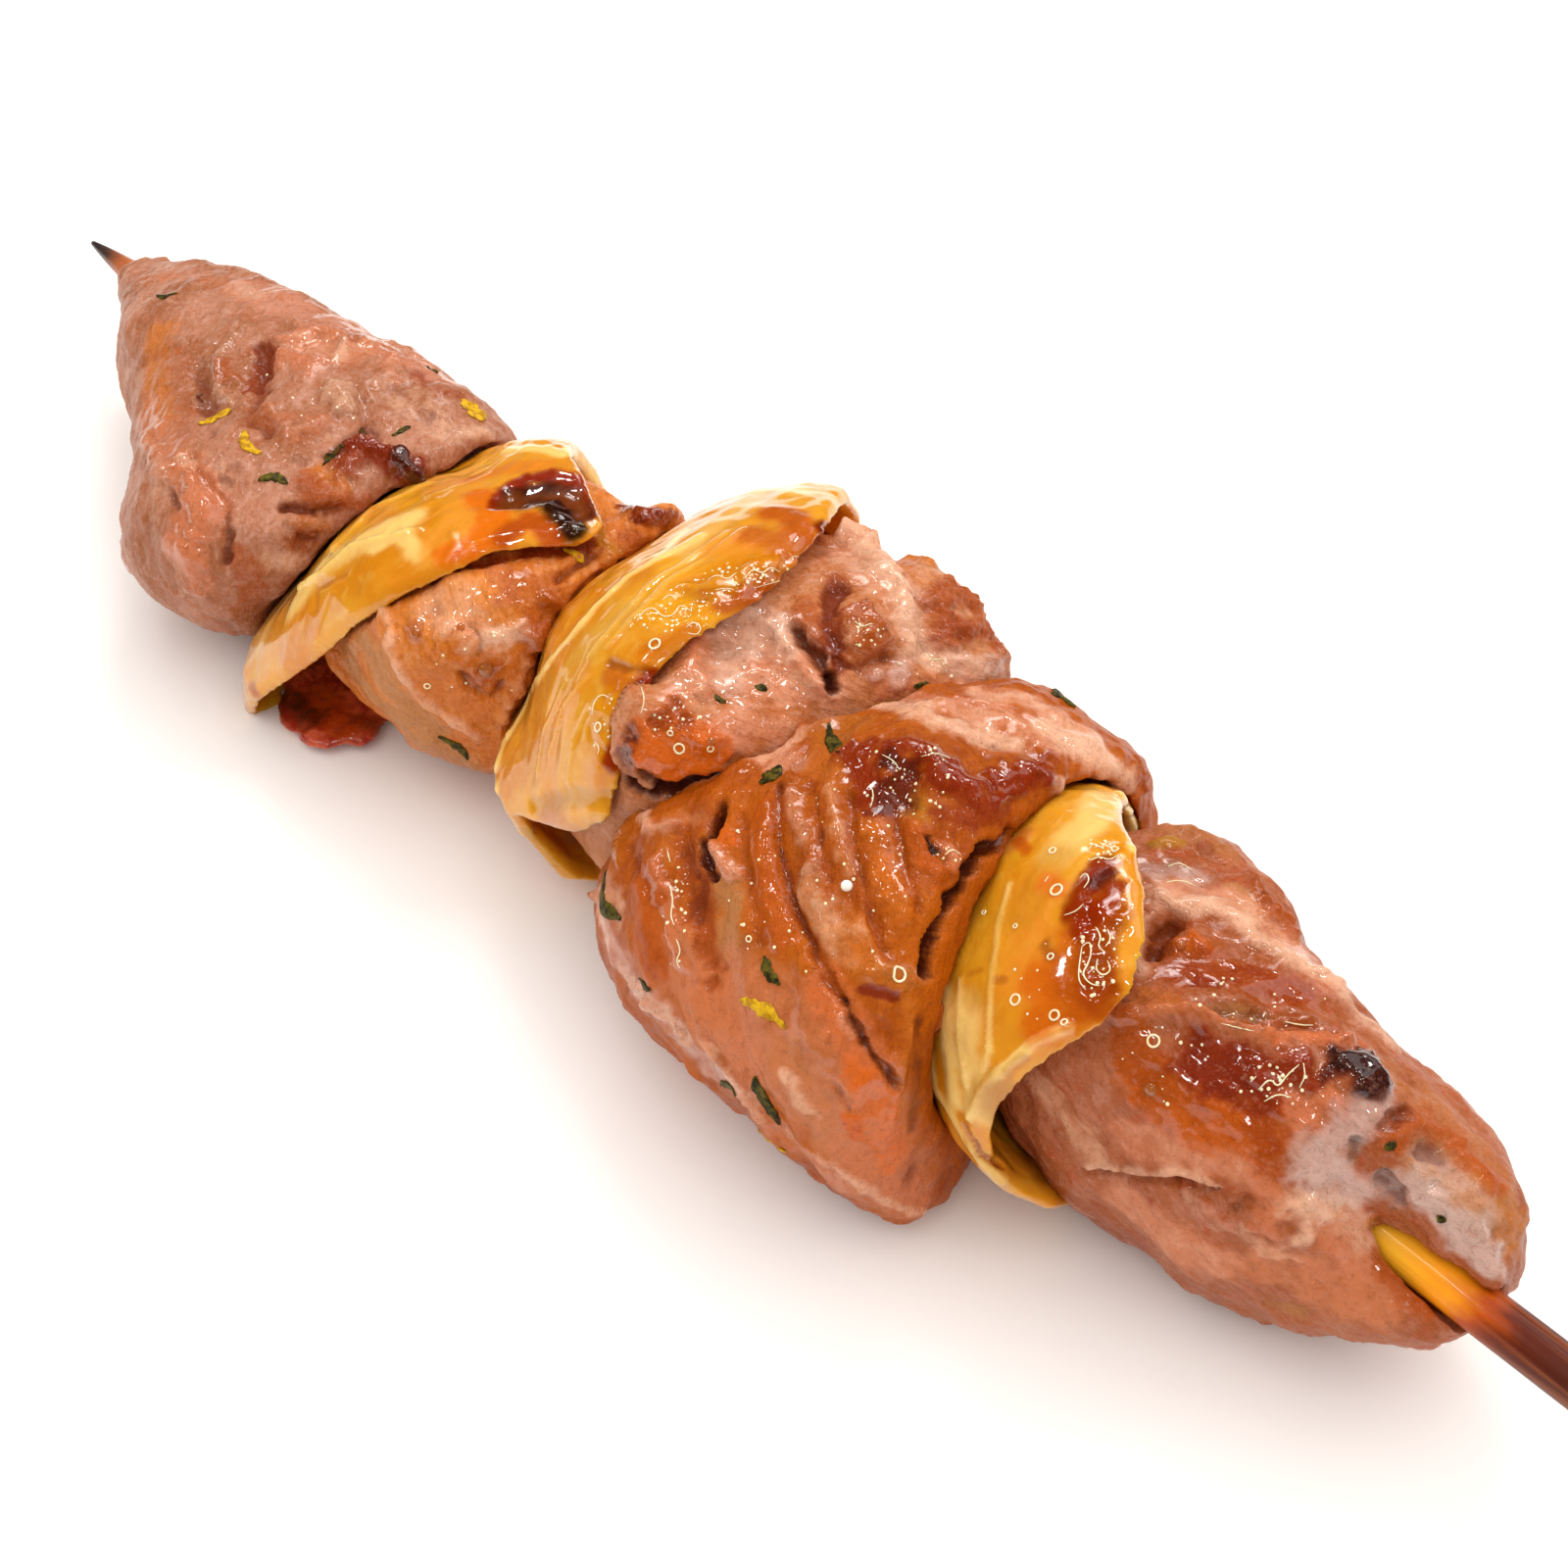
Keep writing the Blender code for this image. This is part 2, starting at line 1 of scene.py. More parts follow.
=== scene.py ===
"""The looks of the kebab skewer: browned meat, translucent onion, herb flecks and a charred bamboo stick.

Every chunk and petal starts from its CAD node's own mesh, remeshed finely. Marks that were placed over
the photograph are carried onto that mesh along the camera's rays. They raise or sink it, and say where it
is browned, charred, red, pale or wrinkled. Some of them are painted light and shade: pale, grey, pink and
cream laid on wet spots as painted highlights and sheen, black laid into deep slits as painted shade, and
red-brown along where a petal overlaps a chunk as a painted shadow. Every hollow is also darkened with
painted shade by its depth, and the near-white foam and drops on the glaze are painted glints. The sides
that the photograph doesn't show get marks of the same kinds, placed by a seeded rule.

Places are in metres in the frame of the CAD model. "Stick" coordinates are millimetres from the middle of
the stick, with x along it. A clock angle of 0 is up, 90 the front, 180 down and 270 the back."""

import math
import random
from dataclasses import dataclass, field

import bmesh
import bpy
import numpy as np
from mathutils import Matrix, Vector, noise
from mathutils.bvhtree import BVHTree


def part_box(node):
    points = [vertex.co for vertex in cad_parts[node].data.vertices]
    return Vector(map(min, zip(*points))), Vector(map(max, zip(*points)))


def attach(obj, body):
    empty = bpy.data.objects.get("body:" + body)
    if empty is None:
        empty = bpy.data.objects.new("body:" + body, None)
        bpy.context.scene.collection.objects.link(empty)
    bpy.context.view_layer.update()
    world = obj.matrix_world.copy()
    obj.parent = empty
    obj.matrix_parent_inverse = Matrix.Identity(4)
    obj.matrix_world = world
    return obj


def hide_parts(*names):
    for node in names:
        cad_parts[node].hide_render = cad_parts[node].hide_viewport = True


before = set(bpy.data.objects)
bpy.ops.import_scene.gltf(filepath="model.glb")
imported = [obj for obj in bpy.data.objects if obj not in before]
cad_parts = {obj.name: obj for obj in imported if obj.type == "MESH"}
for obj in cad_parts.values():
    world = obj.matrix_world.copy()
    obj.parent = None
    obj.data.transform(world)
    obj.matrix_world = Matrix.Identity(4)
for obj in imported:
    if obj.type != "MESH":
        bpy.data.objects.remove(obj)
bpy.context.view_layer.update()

MM = 0.001
PHOTO_SIZE = 1600

stick_low, stick_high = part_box("stick")
STICK_MIDDLE = (stick_low + stick_high) / 2
STICK_HALF_LENGTH = (stick_high.x - stick_low.x) / 2
STICK_RADIUS = (stick_high.z - stick_low.z) / 2

# The camera, worked out from the stick's run and thickness in the photograph
CAMERA_FOCAL_PIXELS = 2198.0
CAMERA_PLACE = STICK_MIDDLE + Vector((74.147, -82.797, 121.360)) * MM
CAMERA_RIGHT = Vector((0.675639, 0.737232, 0.0))
CAMERA_FORWARD = Vector((-0.521302, 0.477749, -0.707107))
CAMERA_DOWN = CAMERA_FORWARD.cross(CAMERA_RIGHT)
SENSOR_MM = 36.0

# Corners nearer to each other than this are one
WELD_DISTANCE = 0.001 * MM
# How finely each kind of piece is remeshed, and how often it is then smoothed
MEAT_VOXEL = 0.31 * MM
ONION_VOXEL = 0.30 * MM
SCRAP_VOXEL = 0.22 * MM
MEAT_SMOOTHING = 26
ONION_SMOOTHING = 8

# Noise in the mesh: how far apart two seeds' noises lie, and what brings it to about -1 to 1
NOISE_SHIFT = 31.7
NOISE_GAIN = 1.6

# How far apart the camera's rays are along a mark
MARK_STEP_PIXELS = 9.0
# Where a mark's colour and relief fade out, as shares of its width
COLOR_FADE = (0.2, 0.95)
RELIEF_FADE = 0.85
# How uneven a mark's edge is: its waves, and how far they shift it, as a share of its width and at most
EDGE_WAVES = ((0.7, 1.7), (0.5, 0.7))
EDGE_SEED = 3
EDGE_SHARE = 0.45
EDGE_MOST_MM = 0.7
ONION_RAGGEDNESS = 0.35

# The photograph shows what faces the camera: none below the first cosine, all above the second
SHOWN_COSINES = (-0.3, 0.05)
# Depths in millimetres between which a hollow darkens with painted shade
HOLLOW_SHADE_DEPTHS = (0.05, 0.9)
FLOOR_CLEARANCE = 0.02 * MM

# Marks on the hidden sides: how many on each kind of piece, their steps in millimetres, their swerve
HIDDEN_MEAT_MARKS = 46
HIDDEN_ONION_MARKS = 30
HIDDEN_SCRAP_MARKS = 6
HIDDEN_STEP = 1.5
SWERVE = 0.5


# Marks: what the photograph shows on each piece. A path is in pixels of the photograph, a width and a
# relief in millimetres, rough and wrinkle say how far it is crumbled or creased, from 0 to 1, and the rest
# is how strongly a layer is laid on


@dataclass
class Mark:
    """One stroke: where it runs, how wide it is, what it does to the mesh, and its layers of colour."""
    path: list
    width: float
    relief: float = 0.0
    rough: float = 0.0
    wrinkle: float = 0.0
    layers: dict = field(default_factory=dict)


def mark(path, width, relief=0.0, rough=0.0, wrinkle=0.0, **layers):
    """A mark whose layers are named as keywords."""
    return Mark(path, width, relief, rough, wrinkle, layers)


MARKS = {}
MARKS["meat_far"] = [
    mark([(352, 478), (372, 462), (400, 472), (434, 490)],
         2.3, relief=0.8, red=0.6, browned=0.7, wet=0.5),
    mark([(250, 290), (330, 325), (400, 345), (450, 385)], 3.6, pink=0.75, grey=0.3, wet=0.4),
    # Painted sheen: a pink and pale patch where the top shines
    mark([(310, 350), (350, 365), (390, 350)], 3.0, pink=0.9, pale=0.3, wet=0.9),
    mark([(150, 420), (200, 500), (190, 560)], 3.4, pink=0.6, taupe=0.3, wet=0.3),
    mark([(268, 352), (266, 372), (260, 392)], 2.2, relief=-0.9, browned=0.7, red=0.5),
    mark([(285, 345), (330, 340), (352, 352)], 1.2, relief=0.5, pink=0.5),
    mark([(290, 365), (320, 372)], 2.6, relief=0.7, pink=0.8, wet=0.5),
    # The next two are painted highlights: pale on the tops of two bumps
    mark([(350, 352), (342, 378)], 0.8, relief=0.5, pale=0.4, wet=0.6),
    mark([(345, 398), (352, 418)], 2.2, relief=0.9, pale=0.5, wet=0.5),
    mark([(365, 400), (372, 425), (385, 445)], 1.2, relief=-0.5),
    mark([(229, 375), (232, 388)], 1.6, browned=0.6, relief=0.3),
    mark([(240, 345), (225, 360), (222, 395), (238, 415)], 0.9, relief=0.5, pale=0.3, wet=0.4),
    mark([(200, 370), (210, 410), (215, 440)], 1.4, relief=-0.4),
    mark([(160, 340), (158, 380), (165, 430)], 3.4, tan=0.7),
    mark([(170, 350), (185, 400), (190, 450)], 2.4, browned=0.35),
    # Painted highlight: pale pink
    mark([(240, 290), (265, 300)], 2.6, pink=0.7, pale=0.4),
    mark([(150, 285), (200, 282), (250, 290)], 1.8, pink=0.4),
    mark([(300, 330), (360, 345), (400, 362)], 1.6, relief=0.5, pink=0.3),
    mark([(262, 400), (255, 430), (275, 440)], 2.0, relief=-0.6, browned=0.4),
    mark([(270, 420), (300, 440), (330, 430)], 2.4, relief=0.5, pink=0.4),
    mark([(337, 466), (350, 452), (372, 436)], 0.8, relief=-0.9, charred=0.5),
    mark([(345, 462), (372, 458), (400, 474), (428, 489)],
         1.6, relief=0.9, red=0.85, charred=0.2, rough=0.3, wet=0.6),
    mark([(405, 478), (430, 489)], 1.0, relief=0.4, charred=0.6, red=0.6, rough=0.3),
    mark([(360, 448), (385, 462)], 1.3, pink=0.6, wet=0.6),
    mark([(310, 492), (330, 505), (365, 512)], 2.0, relief=0.6, browned=0.7),
    mark([(325, 480), (345, 490), (350, 500)], 1.8, tan=0.7, relief=0.3),
    mark([(290, 515), (320, 522), (345, 518)], 0.9, relief=-0.8, browned=0.7, charred=0.3),
    mark([(300, 552), (320, 552)], 1.4, relief=-0.7, browned=0.8, charred=0.3),
    mark([(300, 532), (335, 535)], 1.2, relief=0.6, tan=0.4),
    mark([(192, 470), (225, 512), (232, 545), (228, 575)], 1.0, relief=-0.8, browned=0.3),
    mark([(200, 490), (212, 515), (205, 545)], 3.0, relief=0.9, pink=0.8, wet=0.4),
    mark([(190, 530), (185, 560), (200, 590)], 3.0, relief=0.5, pink=0.6),
    mark([(187, 468), (196, 474)], 0.8, relief=0.5, pale=0.5, wet=0.5),
    mark([(225, 475), (240, 492)], 1.4, relief=0.6, pale=0.3),
    mark([(240, 570), (262, 590), (255, 620)], 2.2, browned=0.55),
    mark([(280, 570), (300, 580)], 2.0, pale=0.5),
    mark([(150, 450), (165, 490), (160, 520)], 1.6, relief=0.4, pale=0.25),
    mark([(172, 500), (180, 520)], 0.8, relief=-0.5),
    mark([(240, 420), (255, 400), (262, 372)], 0.9, relief=0.4),
    mark([(400, 395), (430, 415), (450, 440)], 3.0, pale=0.35, relief=-0.3),
    mark([(425, 380), (452, 398), (470, 405)], 1.6, red=0.35, browned=0.4),
    mark([(395, 365), (405, 385)], 1.4, pink=0.4),
    mark([(380, 340), (440, 372)], 1.2, relief=-0.4, pale=0.3),
    mark([(470, 435), (500, 448)], 2.0, pale=0.5, relief=0.3),
    mark([(290, 480), (310, 470)], 1.0, relief=-0.5),
    mark([(170, 600), (215, 635), (240, 650)], 2.0, relief=0.3, pink=0.3, browned=0.2),
]
MARKS["meat_second"] = [
    # The next three are painted highlights and a painted pink reflection on the top face
    mark([(442, 615), (470, 620), (490, 648)], 3.6, pale=0.45, wet=0.9, relief=-0.2),
    mark([(508, 578), (516, 600), (512, 612)], 1.8, pink=0.7, wet=0.8, relief=0.2),
    mark([(500, 652), (520, 648), (528, 644)], 1.6, pale=0.8, wet=0.8, relief=0.3),
    mark([(424, 643), (428, 652)], 1.6, browned=0.6, relief=0.4, wet=0.8),
    mark([(496, 682), (494, 694)], 2.2, browned=0.75, relief=0.5, wet=0.9),
    mark([(470, 690), (480, 700), (500, 712), (512, 700)], 0.8, relief=-0.5, browned=0.4),
    mark([(388, 598), (396, 632), (402, 660), (420, 695), (445, 722), (490, 752)],
         0.9, relief=0.5, pale=0.55),
    mark([(360, 610), (372, 650), (400, 700), (440, 745)], 3.2, taupe=0.9),
    mark([(345, 640), (362, 690), (420, 750), (480, 785)], 3.0, taupe=0.9),
    mark([(375, 630), (384, 655)], 1.4, pink=0.6, relief=-0.4),
    mark([(410, 600), (440, 590), (480, 575)], 3.0, tan=0.6),
    mark([(420, 690), (455, 700), (480, 730)], 3.0, tan=0.5, pink=0.3),
    mark([(530, 600), (560, 610), (545, 640)], 3.2, browned=0.55, tan=0.4),
    mark([(545, 655), (570, 630), (595, 605), (620, 580)], 2.0, browned=0.65, relief=0.4),
    mark([(560, 612), (575, 622), (600, 596)], 1.2, relief=0.7, browned=0.7, wet=0.5),
    mark([(571, 590), (590, 575), (615, 560)], 0.9, relief=-0.5, browned=0.5),
    mark([(536, 676), (528, 700), (512, 735)], 0.9, relief=0.4, rough=0.5, pale=0.3),
    mark([(645, 520), (655, 528), (680, 530)],
         1.8, relief=0.4, rough=0.4, red=1.0, charred=0.3, wet=1.0),
    mark([(640, 545), (665, 560), (690, 550)], 2.0, browned=0.8, rough=0.3),
    mark([(610, 545), (625, 560), (620, 580)], 1.6, tan=0.5, olive=0.5, rough=0.2),
    # Painted shadow: red-brown along where the onion petal overlaps this chunk
    mark([(450, 585), (500, 570), (560, 560), (595, 552)], 1.4, red=0.7, browned=0.6, relief=-0.3),
    mark([(450, 640), (458, 672), (480, 680)], 1.0, relief=0.4),
    mark([(530, 640), (545, 655)], 0.9, relief=0.4, wet=0.5, pale=0.3),
    mark([(480, 640), (492, 655), (488, 670)], 0.8, relief=-0.4),
    mark([(440, 665), (470, 655)], 2.2, relief=0.5, tan=0.3),
]
MARKS["meat_third"] = [
    # The next two are partly painted sheen: pale, grey and pink on the wet top
    mark([(745, 640), (790, 650), (840, 655)], 3.2, pale=0.5, pink=0.6, grey=0.35, wet=0.6),
    mark([(700, 700), (735, 690), (790, 698), (850, 702)], 2.6, pink=0.7, pale=0.35, wet=0.5),
    mark([(850, 560), (890, 590), (930, 615)], 2.6, pale=0.45, pink=0.6, wet=0.4),
    mark([(925, 640), (950, 665), (1000, 690)], 2.2, pale=0.55, pink=0.5, wet=0.5),
    mark([(740, 618), (752, 630)], 1.6, relief=0.5, pink=0.8, wet=0.8),
    # Painted reflection: a grey glassy sheen on a wet spot
    mark([(775, 622), (800, 640)], 1.8, relief=0.4, pale=0.2, grey=0.4, wet=1.0, wrinkle=0.3),
    # Partly painted sheen: pink on a wet ridge
    mark([(712, 655), (705, 685), (720, 700)], 1.6, relief=0.5, pink=0.7, wet=0.9, wrinkle=0.3),
    mark([(735, 648), (748, 655)], 0.9, relief=0.4, pink=0.5, wet=0.9),
    # Painted sheen: a grey patch
    mark([(750, 668), (742, 700)], 2.2, grey=0.45, pale=0.2, wet=0.6),
    mark([(765, 690), (790, 680), (805, 665)], 3.2, pink=0.6, relief=0.3),
    mark([(778, 672), (790, 690), (775, 700)], 0.8, relief=-0.35, pink=0.3),
    mark([(800, 655), (825, 690), (845, 705)], 1.2, relief=0.5, pink=0.4),
    mark([(812, 642), (835, 675), (852, 700)], 0.9, relief=-1.3, charred=0.55, browned=0.6),
    # Painted shade: a sunk slit painted black
    mark([(843, 690), (851, 703)], 0.7, relief=-1.6, charred=1.0),
    mark([(822, 620), (830, 650)], 2.2, relief=0.5, browned=0.7, tan=0.4),
    mark([(858, 590), (846, 620), (850, 650), (858, 675)], 1.6, relief=-0.9, red=0.6, browned=0.9),
    mark([(868, 553), (900, 575), (922, 605), (930, 645)], 2.2, relief=0.8, pale=0.7, pink=0.4),
    mark([(845, 530), (862, 545), (885, 560)], 1.8, relief=0.6, rough=0.3, pink=0.8),
    mark([(868, 532), (890, 550)], 1.4, relief=0.7, rough=0.4, pink=0.7, tan=0.3),
    mark([(930, 572), (946, 580)], 1.4, relief=0.7, rough=0.3, tan=0.8),
    mark([(905, 560), (930, 585), (965, 600)], 1.6, relief=-0.4, tan=0.4),
    mark([(866, 632), (880, 628), (896, 644), (885, 660)],
         2.2, relief=0.8, browned=0.9, wet=0.9, wrinkle=0.5),
    mark([(862, 662), (880, 678), (905, 672)], 1.2, relief=-0.5, browned=0.6),
    # Painted highlight: grey on wet creases
    mark([(895, 684), (915, 688)], 1.4, relief=0.4, grey=0.5, wet=1.0, wrinkle=0.6),
    mark([(950, 620), (975, 605), (1000, 620)], 2.6, relief=0.5, rough=0.7, browned=0.85, red=0.2),
    mark([(960, 645), (985, 640), (1012, 650)], 2.4, relief=0.5, rough=0.8, browned=0.8, red=0.35),
    mark([(990, 598), (998, 592)], 0.8, relief=0.9, rough=0.5, browned=0.9),
    mark([(1012, 640), (1020, 646)], 0.8, relief=0.8, rough=0.5, browned=0.9),
    mark([(938, 610), (940, 650), (948, 672)], 1.4, relief=-0.7, pale=0.4, pink=0.4),
    # The next two are painted highlights: grey and pale on wet spots
    mark([(970, 680), (995, 686), (1012, 680)], 1.6, grey=0.45, wet=1.0, relief=0.2, wrinkle=0.4),
    mark([(948, 670), (958, 675)], 0.8, pale=0.8, wet=1.0, relief=0.4),
    mark([(900, 700), (940, 705), (985, 706)], 2.0, pink=0.6, relief=0.3),
    mark([(655, 765), (685, 745), (705, 760)],
         3.6, relief=0.4, orange=0.8, browned=0.3, wet=1.0, wrinkle=0.2),
    mark([(660, 775), (690, 790), (718, 778)], 2.6, orange=1.0, relief=0.4, wet=0.9),
    mark([(670, 735), (690, 722), (700, 735)], 1.0, relief=-0.5, browned=0.9, red=0.4),
    # Painted shade: a sunk crevice painted near-black
    mark([(655, 790), (680, 805), (712, 797)], 1.2, relief=-0.9, charred=0.6),
    mark([(640, 745), (636, 780)], 1.4, relief=-0.5, red=0.7, charred=0.5),
    mark([(722, 752), (735, 758)], 1.8, pink=0.6, relief=0.3),
    mark([(740, 735), (760, 745), (790, 745)], 2.6, pink=0.7, pale=0.3),
    # Painted shade: a sunk crevice painted black
    mark([(640, 800), (660, 812), (700, 806), (728, 795)], 1.0, relief=-1.4, charred=1.0),
    mark([(700, 818), (712, 806), (730, 800)], 0.8, relief=0.6, pale=0.5, grey=0.4),
    mark([(560, 830), (600, 850), (620, 870)], 3.0, taupe=0.6, pink=0.4),
]
MARKS["meat_fourth"] = [
    mark([(690, 985), (745, 1040), (800, 1100), (860, 1160), (915, 1215)], 6.0, pink=0.65, taupe=0.45),
    mark([(770, 990), (820, 1035), (875, 1090), (915, 1140)], 3.6, pink=0.45, taupe=0.35, wet=0.3),
    mark([(618, 950), (650, 1010), (700, 1068), (740, 1100)], 2.6, grey=0.45, pink=0.6, wet=0.3),
    mark([(760, 1120), (800, 1160), (860, 1205)], 2.4, pink=0.6, grey=0.25),
    mark([(880, 702), (960, 722), (1040, 738), (1120, 768)], 2.8, pink=0.8, pale=0.4, wet=0.4),
    mark([(760, 740), (800, 730), (830, 712)], 2.2, pink=0.6, pale=0.35, olive=0.3),
    # The next two are painted shade: sunk slits painted black
    mark([(735, 818), (731, 835), (727, 850)], 0.75, relief=-2.2, charred=1.0),
    mark([(716, 858), (719, 876), (730, 895)], 0.7, relief=-1.5, charred=1.0),
    mark([(726, 868), (740, 886), (752, 892)], 1.1, relief=0.5, pink=0.9, pale=0.3, wet=0.6),
    mark([(738, 850), (750, 858)], 1.3, relief=0.25, orange=0.9, browned=0.4),
    mark([(622, 828), (624, 850), (632, 872)], 1.6, relief=0.43, browned=0.5, tan=0.6, wet=0.8),
    mark([(655, 832), (668, 845), (688, 842)], 1.1, relief=0.43, pink=0.7, pale=0.5),
    mark([(640, 862), (650, 890), (672, 920)], 1.1, relief=-0.31, browned=0.4),
    mark([(665, 880), (680, 915), (690, 960), (694, 985)], 1.3, relief=0.5, pink=0.6, wet=1.0),
    mark([(650, 900), (660, 930), (668, 965)], 2.6, browned=0.5, orange=0.5, relief=0.19),
    mark([(655, 960), (672, 990)], 2.0, browned=0.5, red=0.2, orange=0.4),
    mark([(615, 880), (622, 905), (634, 940)], 1.6, relief=-0.12, pale=0.45),
    mark([(635, 990), (655, 1015), (680, 1040), (698, 1060)],
         1.4, relief=0.25, rough=0.5, pale=0.55, pink=0.4),
    mark([(608, 880), (608, 920), (622, 960)], 1.2, pale=0.5, pink=0.6),
    mark([(720, 1060), (742, 1090), (760, 1118), (776, 1140)], 1.0, relief=0.25, pale=0.5, rough=0.3),
    mark([(694, 850), (700, 880), (704, 930)], 1.4, relief=-0.37, browned=0.9),
    mark([(686, 840), (684, 870)], 2.2, tan=0.7, browned=0.4),
    mark([(716, 900), (718, 950), (730, 1000)], 1.5, relief=-0.43, browned=0.9, red=0.2),
    mark([(740, 900), (748, 930), (745, 960)], 2.4, taupe=0.9, relief=0.25),
    mark([(758, 835), (762, 880), (770, 925), (778, 960)], 1.0, relief=-0.37, browned=0.7),
    mark([(776, 830), (784, 880), (792, 930), (800, 960)],
         2.3, relief=0.43, browned=0.6, orange=0.5, wet=0.4),
    mark([(794, 800), (795, 860), (806, 918), (830, 970), (860, 1021)],
         0.68, relief=-0.68, browned=0.9, red=0.2),
    mark([(860, 1021), (890, 1078), (914, 1105)], 0.68, relief=-0.81, charred=0.5, browned=0.6),
    mark([(808, 810), (816, 850), (826, 880)], 1.2, relief=0.35, pale=0.3, pink=0.3, wet=0.5),
    mark([(828, 800), (836, 850), (848, 900)], 0.6, relief=-0.43, browned=0.8),
    mark([(845, 805), (855, 850), (868, 890)], 1.1, relief=0.35, pale=0.25, tan=0.5, wet=0.5),
    mark([(868, 810), (870, 860), (885, 920), (905, 980)], 0.6, relief=-0.43, browned=0.9),
    mark([(890, 830), (900, 880), (920, 940)], 1.8, relief=0.43, tan=0.5, orange=0.3, wet=0.4),
    mark([(912, 830), (922, 880), (938, 930)], 0.6, relief=-0.37, browned=0.7),
    mark([(930, 840), (945, 870), (955, 890)], 1.5, relief=0.37, browned=0.5, orange=0.5),
    mark([(820, 905), (840, 935), (862, 960)], 2.4, pale=0.3, taupe=0.5, relief=0.2),
    mark([(866, 950), (886, 985), (905, 1010)], 2.2, tan=0.5, relief=0.31),
    mark([(905, 990), (925, 1000)], 1.6, relief=0.5, taupe=0.5, wet=0.8),
    mark([(881, 1011), (900, 1014), (915, 1019)], 0.6, relief=-0.19, red=1.0),
    mark([(925, 1010), (926, 1060), (920, 1105)], 1.2, relief=0.31, tan=0.5),
    mark([(840, 1005), (866, 1050), (890, 1090)], 2.4, pink=0.6, orange=0.4, relief=0.25, wet=0.3),
    mark([(860, 1040), (872, 1052)], 0.9, pale=0.5, wet=0.8, relief=0.25),
    mark([(725, 1000), (745, 1040), (760, 1080)], 3.0, pink=0.5, tan=0.3, relief=0.12),
    mark([(700, 1030), (720, 1070)], 2.0, tan=0.6, orange=0.3),
    mark([(800, 1070), (820, 1110), (850, 1160)], 3.0, taupe=0.7),
    mark([(806, 1100), (824, 1130)], 1.2, pale=0.6, relief=0.19),
    mark([(880, 1100), (905, 1150), (915, 1190)], 2.6, orange=0.5, pink=0.6, relief=0.12),
    mark([(868, 1145), (878, 1160)], 1.2, orange=0.8, red=0.3, relief=0.19),
    mark([(806, 1159), (850, 1190), (900, 1225), (940, 1240)], 0.8, relief=0.19, pale=0.5),
    mark([(845, 1105), (862, 1122), (872, 1150)], 0.6, relief=-0.25),
    mark([(880, 1180), (910, 1210), (935, 1225)], 3.0, pink=0.8),
    mark([(830, 735), (850, 745), (870, 742)], 3.2, browned=0.5, tan=0.6, olive=0.4, wet=0.5),
    mark([(842, 770), (850, 790)], 2.4, tan=0.7, browned=0.4),
    mark([(870, 770), (880, 790), (890, 815)], 2.0, red=0.8, browned=0.7, wet=0.8),
    mark([(905, 775), (925, 785), (915, 800), (900, 822)],
         1.9, relief=-0.31, red=1.0, charred=0.55, wet=1.0),
    mark([(885, 765), (930, 762), (965, 778)], 1.8, browned=0.8, red=0.7, relief=0.31, wet=0.8),
    mark([(925, 812), (940, 830)], 2.0, olive=0.6, tan=0.6, relief=-0.12),
    mark([(955, 790), (990, 805), (1030, 795), (1062, 788)],
         2.2, red=1.0, browned=0.8, relief=0.43, wet=0.9),
    mark([(960, 830), (990, 835), (1020, 822)], 1.8, red=0.6, browned=0.7, relief=0.12),
    mark([(905, 716), (950, 735), (1000, 748), (1030, 756)], 2.0, pale=0.7, relief=0.19),
    mark([(930, 728), (985, 748), (1035, 765)], 0.52, relief=-0.31, pink=0.5),
    mark([(900, 700), (960, 712), (1030, 725), (1090, 760)], 0.52, relief=-0.31, pink=0.5),
    mark([(1000, 705), (1060, 720), (1110, 750)], 2.4, pink=0.7, pale=0.5),
    mark([(1070, 745), (1110, 768), (1150, 795)], 2.2, pale=0.7, relief=0.19),
    mark([(1050, 780), (1078, 800)], 1.2, pale=0.8, relief=0.31),
    mark([(1158, 790), (1178, 798)], 1.2, relief=0.31, rough=0.5, browned=0.9),
    mark([(1062, 824), (1038, 840), (1020, 862), (997, 866)],
         0.8, relief=-1.2, charred=0.75, red=0.5, wet=0.8),
    mark([(1000, 868), (985, 888), (978, 905), (966, 921), (960, 940), (950, 958), (946, 990)],
         0.75, relief=-1.6, charred=0.9, red=0.4),
    mark([(946, 855), (952, 870)], 0.45, relief=-0.56, charred=0.9),
    mark([(960, 868), (975, 875), (972, 885)], 0.8, relief=0.43, pink=0.8, wet=0.8),
    mark([(777, 728), (790, 750), (800, 775)], 2.6, pink=0.6, pale=0.4),
    mark([(700, 830), (712, 836)], 1.4, pink=0.5, taupe=0.4),
    mark([(938, 1045), (936, 1100), (930, 1150)], 1.0, charred=0.4, browned=0.6),
]
